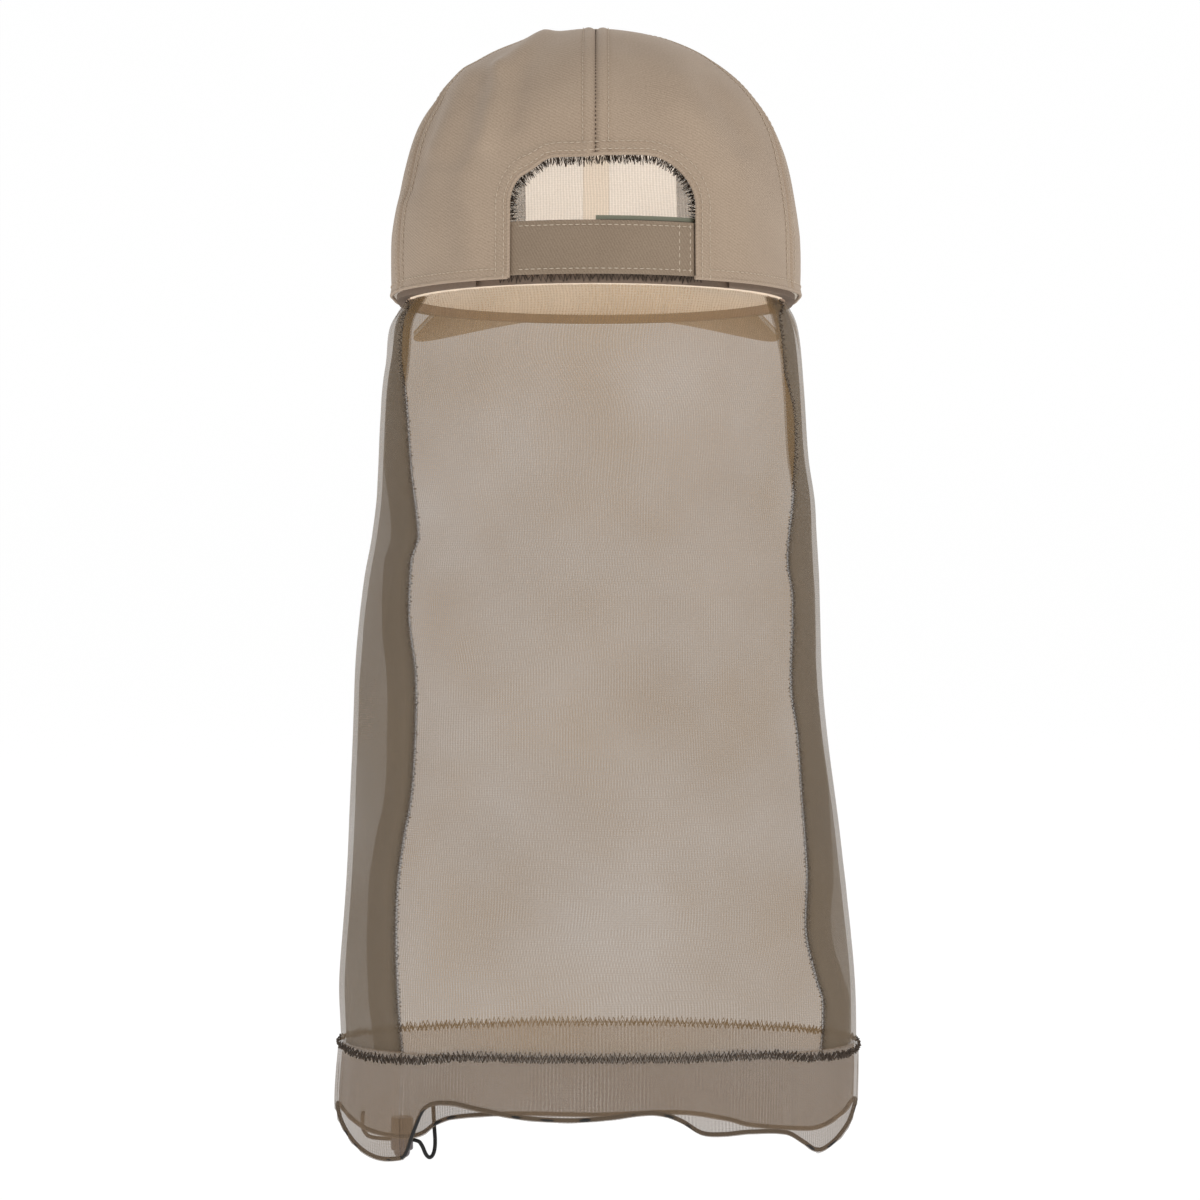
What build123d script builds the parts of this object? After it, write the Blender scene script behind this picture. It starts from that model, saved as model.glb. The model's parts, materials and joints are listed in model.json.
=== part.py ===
from build123d import *
import os
from math import atan2, cos, degrees, pi, radians, sin, sqrt, tan

# A six-panel twill cap with a net veil sewn inside its rim.
# Millimetres. The origin is the centre of the head opening, in the plane of the rim.
# +Z is up, the wearer faces -Y, and +X is the wearer's left.

# ---- driving dimensions ----
HALF_WIDTH = 89.0  # crown, across the head
HALF_DEPTH = 98.0  # crown, front to back
CROWN_HEIGHT = 115.0
TWILL = 1.0  # panel cloth, with its turned-in seam allowance
BACK_SEAM = 90.0  # azimuths of the crown's seams, in degrees
SIDE_SEAM = 25.0
FRONT_SEAM = -38.0

OPENING_WIDTH = 78.0  # rear arch
OPENING_HEIGHT = 51.0
OPENING_CORNER = 21.0
OPENING_SHIFT = -3.0  # the arch sits a little to the wearer's right
FACING_WIDTH = 8.0
FACING = 0.8

SWEATBAND_HEIGHT = 30.0
SWEATBAND = 1.2
TAPE_WIDTH = 12.0
TAPE = 0.5

STRAP_HEIGHT = 22.5
STRAP_BOTTOM = 1.5
STRAP = 1.0
FASTENER = 0.6  # hook tape and loop tape
FASTENER_GAP = 0.3
LOOP_TAB = 0.8

VISOR_REACH = 72.0
VISOR_BOARD = 1.8
VISOR_COVER = 0.8

NET = 0.5
SEAM_TURN = 79.0  # distance of the net's side seams from the centre plane
SEAM_WIDTH = 2.4
HEM_TOP = -326.0
HEM_BOTTOM = -360.0
HEM_SEAM_HEIGHT = 4.0

CORD_RADIUS = 0.9
LOCK_X, LOCK_Y = 87.5, -34.0
LOCK_CORD_Z = -375.0
LOCK_TOP = -365.0
LOCK_BOTTOM = -380.0
LOCK_RADIUS = 5.0
LOCK_BORE = 3.7
PLUNGER_RADIUS = 3.6
PLUNGER_END = -383.4
PLUNGER_TRAVEL = 3.0
CORD_HOLE = 1.2

# ---- depths of the layers inside the crown's outer surface ----
STRAP_DEPTH = TWILL + FACING
HOOK_DEPTH = STRAP_DEPTH + STRAP
LOOP_DEPTH = HOOK_DEPTH + FASTENER + FASTENER_GAP
TAB_DEPTH = LOOP_DEPTH + FASTENER
NET_DEPTH = TAB_DEPTH + LOOP_TAB + 0.4
SWEATBAND_DEPTH = TWILL + SWEATBAND
SEAM_RING_DEPTH = NET_DEPTH - 0.2
SEAM_RING = 1.0
REAR_GAP = 52.5  # half-width of the stretch at the back that has no sweatband

FAR = 300.0  # larger than the cap, for cutting blocks


def block(x0, x1, y0, y1, z0, z1):
    """A box between two corners."""
    size = (x1 - x0, y1 - y0, z1 - z0)
    middle = ((x0 + x1) / 2, (y0 + y1) / 2, (z0 + z1) / 2)
    return Pos(*middle) * Box(*size)


def save(name, shape):
    """Write one sub-part."""
    solids = shape.solids() if not isinstance(shape, list) else [s for part in shape for s in part.solids()]
    export_step(solids[0] if len(solids) == 1 else Compound(children=solids), f"parts/{name}.step")


# ---- crown ----
SIDE_ARC = 240.0  # radii of the three tangent arcs of the crown's profile, from the rim to the top
SHOULDER_ARC = 70.0
SIDE_TURN = 14.0  # degrees that the side arc turns


def dome(depth):
    """Everything inside the crown's surface, taken in by a depth. It runs 6 mm below the rim.

    The plan is two half rounds with a short straight stretch between them.
    """
    side_centre = HALF_WIDTH - SIDE_ARC
    reach = SIDE_ARC - SHOULDER_ARC
    shoulder = (side_centre + reach * cos(radians(SIDE_TURN)), reach * sin(radians(SIDE_TURN)))
    rise = CROWN_HEIGHT - shoulder[1]
    top_arc = (rise ** 2 + shoulder[0] ** 2 - SHOULDER_ARC ** 2) / (2 * (rise - SHOULDER_ARC))
    top_centre = CROWN_HEIGHT - top_arc
    top_start = degrees(atan2(shoulder[1] - top_centre, shoulder[0]))
    arcs = [
        CenterArc((side_centre, 0), SIDE_ARC - depth, 0, SIDE_TURN),
        CenterArc(shoulder, SHOULDER_ARC - depth, SIDE_TURN, top_start - SIDE_TURN),
        CenterArc((0, top_centre), top_arc - depth, top_start, 90 - top_start),
    ]
    low = -6.0
    outer_foot = (HALF_WIDTH - depth, low)
    rest = Polyline((0, CROWN_HEIGHT - depth), (0, low), outer_foot, (HALF_WIDTH - depth, 0))
    face = Plane.XZ * make_face([*arcs, *rest.edges()])
    stretch = HALF_DEPTH - HALF_WIDTH
    half = revolve(face, Axis.Z, 180)
    middle = extrude(Pos(0, stretch, 0) * face, 2 * stretch)
    return (Pos(0, stretch, 0) * half + Pos(0, -stretch, 0) * half.rotate(Axis.Z, 180)
            + middle + middle.mirror(Plane.YZ))


def layer(outer, inner, bottom=0.0, top=CROWN_HEIGHT + 5):
    """A shell of the crown between two depths and two heights."""
    return (dome(outer) - dome(inner)) & block(-FAR, FAR, -FAR, FAR, bottom, top)


def wedge(start, end, inset=0.0):
    """A sector about the crown's axis, between two azimuths less than 90 degrees apart."""
    corners = [(FAR * cos(radians(a)), FAR * sin(radians(a))) for a in (start, end)]
    sector = extrude(make_face(Polyline((0, 0), *corners, close=True)), CROWN_HEIGHT + 20)
    middle, half = radians((start + end) / 2), radians((end - start) / 2)
    shift = inset / sin(half)
    return Pos(shift * cos(middle), shift * sin(middle), 0) * sector


def arch(grow=0.0):
    """A block of the rear arch's outline, larger by a margin all round, through the crown's back."""
    low = -20.0
    height = OPENING_HEIGHT + grow - low
    outline = Pos(OPENING_SHIFT, low + height / 2) * Rectangle(OPENING_WIDTH + 2 * grow, height)
    outline = fillet(outline.vertices().sort_by(Axis.Y)[-2:], OPENING_CORNER + grow)
    return extrude(Plane.XZ.offset(-130) * outline, 90)


def seam_band(azimuth, half_width, start):
    """A flat slab over one crown seam, for cutting tapes and what lies between them."""
    return Rot(0, 0, azimuth) * block(start, FAR, -half_width, half_width, 0, CROWN_HEIGHT + 20)


def rear_block(bottom, top):
    """The stretch of the rim at the back that the strap takes up."""
    return block(OPENING_SHIFT - REAR_GAP, OPENING_SHIFT + REAR_GAP, 0, FAR, bottom, top)


seams = [BACK_SEAM, SIDE_SEAM, FRONT_SEAM, -BACK_SEAM, 180 - FRONT_SEAM, 180 - SIDE_SEAM]
panels = {
    "back_panel_left": (SIDE_SEAM, BACK_SEAM),
    "side_panel_left": (FRONT_SEAM, SIDE_SEAM),
    "front_panel_left": (-BACK_SEAM, FRONT_SEAM),
    "front_panel_right": (180 - FRONT_SEAM, 180 + BACK_SEAM),
    "side_panel_right": (180 - SIDE_SEAM, 180 - FRONT_SEAM),
    "back_panel_right": (BACK_SEAM, 180 - SIDE_SEAM),
}
BUTTON_RADIUS = 8.0
BUTTON_TOP = CROWN_HEIGHT + 3.2
POST_RADIUS = 1.5


def crown():
    """The six panels, the tapes over their seams, the stiffener and the sweatband."""
    cloth = layer(0, TWILL) - arch() - Cylinder(POST_RADIUS, 3 * CROWN_HEIGHT)
    for name, (start, end) in panels.items():
        save(name, cloth & wedge(start, end))

    under = layer(TWILL, TWILL + TAPE, SWEATBAND_HEIGHT + 0.5)
    tape_start = TAPE_WIDTH + 3
    tapes = [(under & seam_band(a, TAPE_WIDTH / 2, tape_start)) - arch(FACING_WIDTH + 0.2) for a in seams]
    save("crown_seam_tapes", tapes)

    fronts = [panels["front_panel_left"], panels["front_panel_right"]]
    save("front_buckram", [under & wedge(*ends, inset=TAPE_WIDTH / 2 + 0.1) for ends in fronts])

    save("sweatband", layer(TWILL, SWEATBAND_DEPTH, 0.5, SWEATBAND_HEIGHT) - rear_block(0, SWEATBAND_HEIGHT))


def button():
    """The covered button on the crown, and the washer that its post is closed over inside."""
    low = CROWN_HEIGHT - 4
    head = Pos(0, 0, (low + BUTTON_TOP) / 2) * Cylinder(BUTTON_RADIUS, BUTTON_TOP - low)
    head = fillet(head.edges().filter_by(GeomType.CIRCLE).sort_by(Axis.Z)[-1:], 2.4) - dome(0)
    post_low = CROWN_HEIGHT - TWILL
    post = Pos(0, 0, (post_low + CROWN_HEIGHT + 1) / 2) * Cylinder(POST_RADIUS, CROWN_HEIGHT + 1 - post_low)
    save("top_button", head + post)
    save("button_backing", layer(TWILL, TWILL + 1.0) & Cylinder(BUTTON_RADIUS - 1, 3 * CROWN_HEIGHT))


# ---- visor ----
def visor():
    """A board between two cloth covers, ruled from the crown's rim out to an arched front edge."""
    count = 8
    spread = radians(55)
    inside = HALF_WIDTH - 1.5  # the ruled pieces start inside the rim and are cut back to the cloth
    root = []
    front = []
    for i in range(count + 1):
        turn = -1 + 2 * i / count
        root.append((inside * sin(spread * turn),
                     HALF_WIDTH - HALF_DEPTH - inside * cos(spread * turn), 0.5))
        side = sin(pi / 2 * turn)
        front.append((84 * side, -62 - (HALF_DEPTH + VISOR_REACH - 62) * sqrt(max(0.0, 1 - side * side)),
                      8 - 20 * side * side))
    face = Face.make_surface_from_curves(Spline(*root), Spline(*front))
    crown_space = dome(0)
    heights = {"visor_under_cover": VISOR_COVER, "visor_board": VISOR_BOARD, "visor_top_cover": VISOR_COVER}
    base = 0.0
    for name, thickness in heights.items():
        save(name, Solid.extrude(Pos(0, 0, base) * face, Vector(0, 0, thickness)) - crown_space)
        base += thickness


# ---- rear opening, strap and fastener ----
STRAP_TOP = STRAP_BOTTOM + STRAP_HEIGHT
STRAP_END = -41.0
HINGE_X = 33.8
HINGE_GAP = 0.8
SEWN_END = 48.0


def rear_piece(outer, thickness, x0, x1, bottom=STRAP_BOTTOM, top=STRAP_TOP):
    """A strip that follows the back of the rim, between two distances from the centre plane."""
    return layer(outer, outer + thickness, bottom, top) & block(x0, x1, 0, FAR, bottom, top)


def rear_opening():
    """Facing, strap, hook and loop fastener, and the net behind the arch."""
    ring = arch(FACING_WIDTH) - arch()
    save("opening_facing", layer(TWILL, STRAP_DEPTH) & ring)

    save("adjust_strap", rear_piece(STRAP_DEPTH, STRAP, STRAP_END, HINGE_X - HINGE_GAP))
    save("strap_sewn_end", rear_piece(STRAP_DEPTH, STRAP, HINGE_X + HINGE_GAP, SEWN_END))
    save("hook_tape", rear_piece(HOOK_DEPTH, FASTENER, STRAP_END + 1, 8, STRAP_BOTTOM + 1.5, STRAP_TOP - 1.5))

    tab_left, tab_right, tab_top = -52.0, 0.0, STRAP_TOP + 1.8
    save("loop_tape", rear_piece(LOOP_DEPTH, FASTENER, -46, tab_right - 2, STRAP_BOTTOM + 1, STRAP_TOP))
    tab = rear_piece(TAB_DEPTH, LOOP_TAB, tab_left, tab_right, STRAP_BOTTOM + 0.5, tab_top)
    root = rear_piece(STRAP_DEPTH, TAB_DEPTH - STRAP_DEPTH, tab_left, -46.5, STRAP_BOTTOM + 0.5, tab_top)
    save("loop_tab", tab + root)

    net_bottom = 2.0
    save("arch_net_insert", layer(NET_DEPTH, NET_DEPTH + NET, net_bottom) & arch(6))
    save("arch_net_seam", layer(STRAP_DEPTH, NET_DEPTH, tab_top + 1) & (arch(7) - arch(3)))


# ---- veil ----
# half-width and half-depth of the net tube at each height; it goes from the cap's oval to a flatter one
TUBE = [(-2.0, 83.2, 92.2), (-25.0, 91.0, 86.0), (-130.0, 101.0, 72.0), (-230.0, 107.5, 61.0),
        (HEM_TOP, 113.0, 56.0)]
HEM = [(HEM_TOP, 113.0, 56.0), (-344.0, 114.5, 56.0), (HEM_BOTTOM, 113.0, 54.0)]


def tube(sections, grow):
    """A solid through oval sections, larger all round by a margin."""
    return loft([Pos(0, 0, z) * Ellipse(a + grow, b + grow) for z, a, b in sections])


def between(sections, outer, inner, bottom, top):
    """The wall between two margins, cut to two heights."""
    wall = tube(sections, outer) - tube(sections, inner)
    return wall & block(-FAR, FAR, -FAR, FAR, bottom, top)


def back_part(wall, turn):
    """What of a wall lies behind, between the side seams."""
    return wall & block(-turn, turn, 0, FAR, -2 * FAR, 0)


def front_part(wall, turn):
    """What of a wall lies outside the side seams and in front."""
    return wall - block(-turn, turn, 0, FAR, -2 * FAR, 0)


def veil():
    """The net's seam inside the rim, its two panels and the seams between them."""
    ring = layer(SEAM_RING_DEPTH, SEAM_RING_DEPTH + SEAM_RING, -2, 2)
    filler = layer(SWEATBAND_DEPTH, SEAM_RING_DEPTH, -2, 2) - rear_block(-3, 3)
    save("veil_rim_seam", [ring, filler])

    net = between(TUBE, 0, -NET, HEM_TOP, TUBE[0][0])
    save("veil_back_panel", back_part(net, SEAM_TURN - SEAM_WIDTH / 2))
    save("veil_front_panel", front_part(net, SEAM_TURN + SEAM_WIDTH / 2))
    thick = between(TUBE, 0.8, -NET, HEM_TOP, TUBE[0][0])
    for name, side in (("veil_side_seam_left", 1), ("veil_side_seam_right", -1)):
        low, high = sorted((side * (SEAM_TURN - SEAM_WIDTH / 2), side * (SEAM_TURN + SEAM_WIDTH / 2)))
        save(name, thick & block(low, high, 0, FAR, -2 * FAR, 0))


# ---- hem, drawcord and cord lock ----
def hem():
    """The folded casing with its channel, the overlocked seam along its top and the cord inside."""
    casing = between(HEM, 1.0, -3.0, HEM_BOTTOM, HEM_TOP)
    channel = between(HEM, 0.4, -2.4, HEM_BOTTOM + 2.5, HEM_TOP - 3)
    folded = casing - channel
    seam = between(HEM, 2.0, 1.0, HEM_TOP - HEM_SEAM_HEIGHT, HEM_TOP)
    save("hem_casing_back", back_part(folded, SEAM_TURN))
    save("hem_casing_front", front_part(folded, SEAM_TURN))
    save("hem_seam_back", back_part(seam, SEAM_TURN))
    save("hem_seam_front", front_part(seam, SEAM_TURN))

    cord_bottom = HEM_BOTTOM + 4
    save("drawcord_ring", between(HEM, -0.1, -0.1 - 2 * CORD_RADIUS, cord_bottom, cord_bottom + 2 * CORD_RADIUS))


# the free cord: out of the casing, straight through the lock, down in a narrow loop and back up
CORD_ROUTE = [
    (104.0, -19.7, HEM_BOTTOM - 0.4),
    (104.6, -22.0, -365.5),
    (104.5, -28.0, -370.5),
    (101.5, LOCK_Y, LOCK_CORD_Z),
    (80.5, LOCK_Y, LOCK_CORD_Z),
    (78.2, -34.6, -378.6),
    (76.9, -35.2, -382.4),
    (75.1, -36.0, -384.2),
    (73.3, -36.8, -382.4),
    (72.6, -38.0, -377.6),
    (73.4, -39.4, -369.0),
    (73.8, -39.8, HEM_BOTTOM - 0.1),
]


def free_cord():
    """The cord's tube: straight runs joined by tangent arcs, each as large as its runs allow."""
    points = [Vector(*p) for p in CORD_ROUTE]
    radii = []
    for before, here, after in zip(points, points[1:], points[2:]):
        turn = radians((here - before).get_angle(after - here))
        shorter = min((here - before).length, (after - here).length)
        radii.append(0.45 * shorter / tan(turn / 2))
    print("cord radii, mm:", [round(r, 1) for r in radii])
    path = FilletPolyline(*points, radius=radii)
    tube_solid = sweep((path ^ 0) * Circle(CORD_RADIUS), path=path)
    print(f"cord length {path.length:.1f} mm, volume {tube_solid.volume:.1f} mm3, "
          f"section times length {pi * CORD_RADIUS ** 2 * path.length:.1f} mm3")
    save("drawcord_loop", tube_solid)


def upright(radius, bottom, top):
    """A cylinder on the lock's axis."""
    return Pos(LOCK_X, LOCK_Y, (bottom + top) / 2) * Cylinder(radius, top - bottom)


def cord_lock():
    """Barrel, plunger and spring. The cord goes through the barrel and the plunger's slot."""
    roof = 1.5
    barrel = upright(LOCK_RADIUS, LOCK_BOTTOM, LOCK_TOP)
    barrel = fillet(barrel.edges().filter_by(GeomType.CIRCLE), 1.0)
    barrel -= upright(LOCK_BORE, LOCK_BOTTOM - 1, LOCK_TOP - roof)
    barrel -= Pos(LOCK_X, LOCK_Y, LOCK_CORD_Z) * Rot(0, 90, 0) * Cylinder(CORD_HOLE, 3 * LOCK_RADIUS)
    save("lock_barrel", barrel)

    plunger_top = LOCK_CORD_Z + CORD_HOLE + 2.3
    plunger = upright(PLUNGER_RADIUS, PLUNGER_END, plunger_top)
    plunger = fillet(plunger.edges().filter_by(GeomType.CIRCLE).sort_by(Axis.Z)[:1], 2.6)
    plunger -= block(LOCK_X - 9, LOCK_X + 9, LOCK_Y - CORD_HOLE, LOCK_Y + CORD_HOLE,
                     LOCK_CORD_Z - CORD_HOLE - PLUNGER_TRAVEL, LOCK_CORD_Z + CORD_HOLE)
    save("lock_plunger", plunger)

    wire = 0.22
    bottom, top = plunger_top + wire + 0.02, LOCK_TOP - roof - wire - 0.02
    coil = Pos(LOCK_X, LOCK_Y, bottom) * Helix(pitch=1.1, height=top - bottom, radius=2.5)
    save("lock_spring", sweep((coil ^ 0) * Circle(wire), path=coil, is_frenet=True))


if __name__ == "__main__":
    os.makedirs("parts", exist_ok=True)
    crown()
    button()
    visor()
    rear_opening()
    veil()
    hem()
    free_cord()
    cord_lock()
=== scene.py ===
"""A twill cap with a fine net veil sewn inside its rim.

Metres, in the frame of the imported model: the origin is the centre of the head opening, +Z is up,
the wearer faces -Y and +X is the wearer's left.
"""

import json
import logging
import math
from dataclasses import dataclass, field
from enum import Enum
from typing import Iterable, Sequence

import bmesh
import bpy
import numpy as np
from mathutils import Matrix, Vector, noise

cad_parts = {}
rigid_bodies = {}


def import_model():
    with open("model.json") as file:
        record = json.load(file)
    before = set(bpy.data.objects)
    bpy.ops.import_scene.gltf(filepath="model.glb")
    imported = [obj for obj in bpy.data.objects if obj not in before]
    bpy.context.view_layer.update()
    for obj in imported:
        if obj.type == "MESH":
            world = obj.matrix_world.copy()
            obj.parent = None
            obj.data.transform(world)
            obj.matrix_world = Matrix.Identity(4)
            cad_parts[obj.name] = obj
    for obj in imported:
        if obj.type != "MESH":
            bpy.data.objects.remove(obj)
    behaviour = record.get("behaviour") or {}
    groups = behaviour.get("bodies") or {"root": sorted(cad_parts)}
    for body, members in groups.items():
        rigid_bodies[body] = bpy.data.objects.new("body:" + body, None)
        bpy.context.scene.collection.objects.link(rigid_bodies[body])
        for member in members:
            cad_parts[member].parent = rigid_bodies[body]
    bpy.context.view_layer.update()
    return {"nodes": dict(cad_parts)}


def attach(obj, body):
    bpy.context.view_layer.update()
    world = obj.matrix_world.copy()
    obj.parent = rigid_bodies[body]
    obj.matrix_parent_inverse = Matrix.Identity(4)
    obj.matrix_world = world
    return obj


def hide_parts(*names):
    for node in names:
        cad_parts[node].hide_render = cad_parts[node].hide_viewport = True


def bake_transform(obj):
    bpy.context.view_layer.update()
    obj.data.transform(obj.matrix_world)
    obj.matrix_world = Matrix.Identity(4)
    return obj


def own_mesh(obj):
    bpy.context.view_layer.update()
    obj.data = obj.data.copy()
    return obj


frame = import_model()
LOG = logging.getLogger("cap_with_veil")
MM = 0.001


# ---------------------------------------------------------------- shared helpers
def colour(text: str) -> tuple[float, float, float, float]:
    """Turn an sRGB hex value into a linear colour.

    Args:
        text: six hex digits after a hash sign.

    Returns:
        Linear red, green, blue and an alpha of 1.
    """
    channels = [int(text[i:i + 2], 16) / 255 for i in (1, 3, 5)]
    linear = [c / 12.92 if c <= 0.04045 else ((c + 0.055) / 1.055) ** 2.4 for c in channels]
    return (*linear, 1.0)


def add(tree: bpy.types.NodeTree, kind: str, settings: dict | None = None, links: dict | None = None):
    """Add a node with its settings and its inputs.

    Args:
        tree: the tree that the node goes into.
        kind: the node's type name.
        settings: properties of the node itself.
        links: input name or index, to a socket that feeds it or to a plain value.

    Returns:
        The new node.
    """
    node = tree.nodes.new(kind)
    for name, value in (settings or {}).items():
        setattr(node, name, value)
    for name, value in (links or {}).items():
        if isinstance(value, bpy.types.NodeSocket):
            tree.links.new(value, node.inputs[name])
        else:
            node.inputs[name].default_value = value
    return node


def build(name: str, points: np.ndarray, faces: Sequence[Sequence[int]], finish: bpy.types.Material,
          cloth: np.ndarray | None = None) -> bpy.types.Object:
    """Make a mesh object at the origin.

    Args:
        name: the piece's name.
        points: vertex places, one row each.
        faces: vertex indices of each face, counter-clockwise seen from outside.
        finish: the material.
        cloth: a place on the flat cloth for each vertex, in metres, kept as the UV map "cloth".

    Returns:
        The new object, smooth shaded.
    """
    mesh = bpy.data.meshes.new(name)
    mesh.from_pydata([tuple(p) for p in points], [], [tuple(f) for f in faces])
    mesh.materials.append(finish)
    mesh.shade_smooth()
    if cloth is not None:
        layer = mesh.uv_layers.new(name="cloth")
        corners = np.zeros(len(mesh.loops), dtype=np.int32)
        mesh.loops.foreach_get("vertex_index", corners)
        layer.data.foreach_set("uv", cloth[corners].astype(np.float32).ravel())
    piece = bpy.data.objects.new(name, mesh)
    bpy.context.scene.collection.objects.link(piece)
    return piece


def grid_faces(columns: int, rows: int) -> list[tuple[int, int, int, int]]:
    """Quads of a grid whose vertices run column by column, each from the bottom up."""
    return [(i * rows + j, (i + 1) * rows + j, (i + 1) * rows + j + 1, i * rows + j + 1)
            for i in range(columns - 1) for j in range(rows - 1)]


def bake(piece: bpy.types.Object) -> bpy.types.Object:
    """Turn a piece and its modifiers into a plain mesh, in an object of the same name."""
    graph = bpy.context.evaluated_depsgraph_get()
    graph.update()
    mesh = bpy.data.meshes.new_from_object(piece.evaluated_get(graph), depsgraph=graph)
    name = piece.name
    old = piece.data
    bpy.data.objects.remove(piece)
    if isinstance(old, bpy.types.Mesh):
        bpy.data.meshes.remove(old)
    else:
        bpy.data.curves.remove(old)
    mesh.name = name
    made = bpy.data.objects.new(name, mesh)
    bpy.context.scene.collection.objects.link(made)
    return made


def poly_curve(name: str, lines: Iterable[Sequence[Sequence[float]]], closed: bool = False):
    """Make a curve object of straight-run splines.

    Args:
        name: the object's name.
        lines: a list of points for each spline.
        closed: whether each spline closes on itself.

    Returns:
        The curve object.
    """
    data = bpy.data.curves.new(name, "CURVE")
    data.dimensions = "3D"
    for line in lines:
        spline = data.splines.new("POLY")
        spline.points.add(len(line) - 1)
        spline.points.foreach_set("co", np.array([(*p, 1.0) for p in line], dtype=np.float32).ravel())
        spline.use_cyclic_u = closed
    made = bpy.data.objects.new(name, data)
    bpy.context.scene.collection.objects.link(made)
    return made


def face_outward(piece: bpy.types.Object) -> None:
    """Turn all faces of a closed mesh outwards."""
    shape = bmesh.new()
    shape.from_mesh(piece.data)
    bmesh.ops.recalc_face_normals(shape, faces=shape.faces)
    shape.to_mesh(piece.data)
    shape.free()


def thicken(data: bpy.types.Curve, radius: float, rounding: int, finish: bpy.types.Material) -> None:
    """Make a curve a round tube of one finish.

    Args:
        data: the curve.
        radius: the tube's radius, in metres.
        rounding: how finely its section is rounded.
        finish: its material.
    """
    data.bevel_depth = radius
    data.bevel_resolution = rounding
    data.materials.append(finish)


@dataclass(frozen=True)
class Outline:
    """A smooth line through a few places in millimetres, lowest first."""

    knots: tuple[tuple[float, float], ...]

    def at(self, height: float) -> float:
        """The line's value at a place, by a cubic between its knots. Both are in metres."""
        z = [k[0] * MM for k in self.knots]
        v = [k[1] * MM for k in self.knots]
        height = min(max(height, z[0]), z[-1])
        i = min(max(int(np.searchsorted(z, height)) - 1, 0), len(z) - 2)
        slopes = []
        for k in (i, i + 1):
            low, high = max(k - 1, 0), min(k + 1, len(z) - 1)
            slopes.append((v[high] - v[low]) / (z[high] - z[low]))
        span = z[i + 1] - z[i]
        t = (height - z[i]) / span
        return ((2 * t ** 3 - 3 * t ** 2 + 1) * v[i] + (t ** 3 - 2 * t ** 2 + t) * span * slopes[0]
                + (3 * t ** 2 - 2 * t ** 3) * v[i + 1] + (t ** 3 - t ** 2) * span * slopes[1])


# ---------------------------------------------------------------- finishes
class Name(Enum):
    """The finishes, each named for the real material; the pleated net's name also says that its colour holds
    painted shade.
    """

    TWILL = "cotton_twill"
    STRAP = "strap_twill"
    NET = "knitted_polyester_net"
    FRONT_NET = "pleated_polyester_net"
    HEM_NET = "doubled_net"
    OVERLOCK = "overlocked_net_edge"
    THREAD = "light_sewing_thread"
    RIM_SEAM = "khaki_overlocked_seam"
    ARCH_NET = "single_polyester_net"
    DARK_THREAD = "dark_sewing_thread"
    CORD = "braided_elastic_cord"
    ACETAL = "moulded_acetal"
    STEEL = "spring_steel"
    BOARD = "polyethylene_board"
    BUCKRAM = "white_buckram"
    LOOP = "napped_loop_tape"
    HOOK = "moulded_hook_tape"
    TAPE = "woven_tape"
    BAND = "pale_cotton"


@dataclass(frozen=True)
class Cloth:
    """A woven cotton. Its ribs run slantwise, and it is dull, with a faint nap.

    The real ribs are 0.5 mm apart, too fine to show, so they are drawn coarser.
    """

    name: str
    light: str
    dark: str
    rib: float = 1.15 * MM
    slant: float = 62.0
    roughness: float = 0.92
    relief: float = 0.30
    on_cloth: bool = True

    def material(self) -> bpy.types.Material:
        """Build the node material."""
        made = bpy.data.materials.new(self.name)
        made.use_nodes = True
        tree = made.node_tree
        shader = tree.nodes["Principled BSDF"]
        if self.on_cloth:
            place = add(tree, "ShaderNodeUVMap", {"uv_map": "cloth"}).outputs["UV"]
        else:
            place = add(tree, "ShaderNodeTexCoord").outputs["Object"]
        angle = math.radians(self.slant)
        turns = 2 * math.pi / self.rib
        across = (math.cos(angle) * turns, math.sin(angle) * turns, math.sin(angle) * turns)
        along = add(tree, "ShaderNodeVectorMath", {"operation": "DOT_PRODUCT"}, {0: place, 1: across})
        wobble = add(tree, "ShaderNodeTexNoise", None, {"Vector": place, "Scale": 900.0, "Detail": 2.0})
        shifted = add(tree, "ShaderNodeMath", {"operation": "MULTIPLY_ADD"},
                      {0: wobble.outputs["Fac"], 1: 3.2, 2: along.outputs["Value"]})
        ribs = add(tree, "ShaderNodeMath", {"operation": "SINE"}, {0: shifted.outputs[0]})
        speck = add(tree, "ShaderNodeTexNoise", None, {"Vector": place, "Scale": 1500.0, "Detail": 3.0})
        cloud = add(tree, "ShaderNodeTexNoise", None, {"Vector": place, "Scale": 28.0, "Detail": 3.0})
        tone = add(tree, "ShaderNodeMath", {"operation": "MULTIPLY_ADD"},
                   {0: ribs.outputs[0], 1: 0.10, 2: speck.outputs["Fac"]})
        tone = add(tree, "ShaderNodeMath", {"operation": "MULTIPLY_ADD"},
                   {0: cloud.outputs["Fac"], 1: 0.45, 2: tone.outputs[0]})
        ramp = add(tree, "ShaderNodeMapRange", None,
                   {"Value": tone.outputs[0], "From Min": 0.42, "From Max": 1.02})
        mix = add(tree, "ShaderNodeMix", {"data_type": "RGBA"},
                  {0: ramp.outputs[0], 6: colour(self.dark), 7: colour(self.light)})
        height = add(tree, "ShaderNodeMath", {"operation": "MULTIPLY_ADD"},
                     {0: speck.outputs["Fac"], 1: 0.8, 2: ribs.outputs[0]})
        bump = add(tree, "ShaderNodeBump", None,
                   {"Height": height.outputs[0], "Strength": self.relief, "Distance": 0.12 * MM})
        tree.links.new(mix.outputs[2], shader.inputs["Base Color"])
        tree.links.new(bump.outputs["Normal"], shader.inputs["Normal"])
        shader.inputs["Roughness"].default_value = self.roughness
        shader.inputs["Sheen Weight"].default_value = 0.12
        shader.inputs["Sheen Roughness"].default_value = 0.6
        return made


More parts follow.
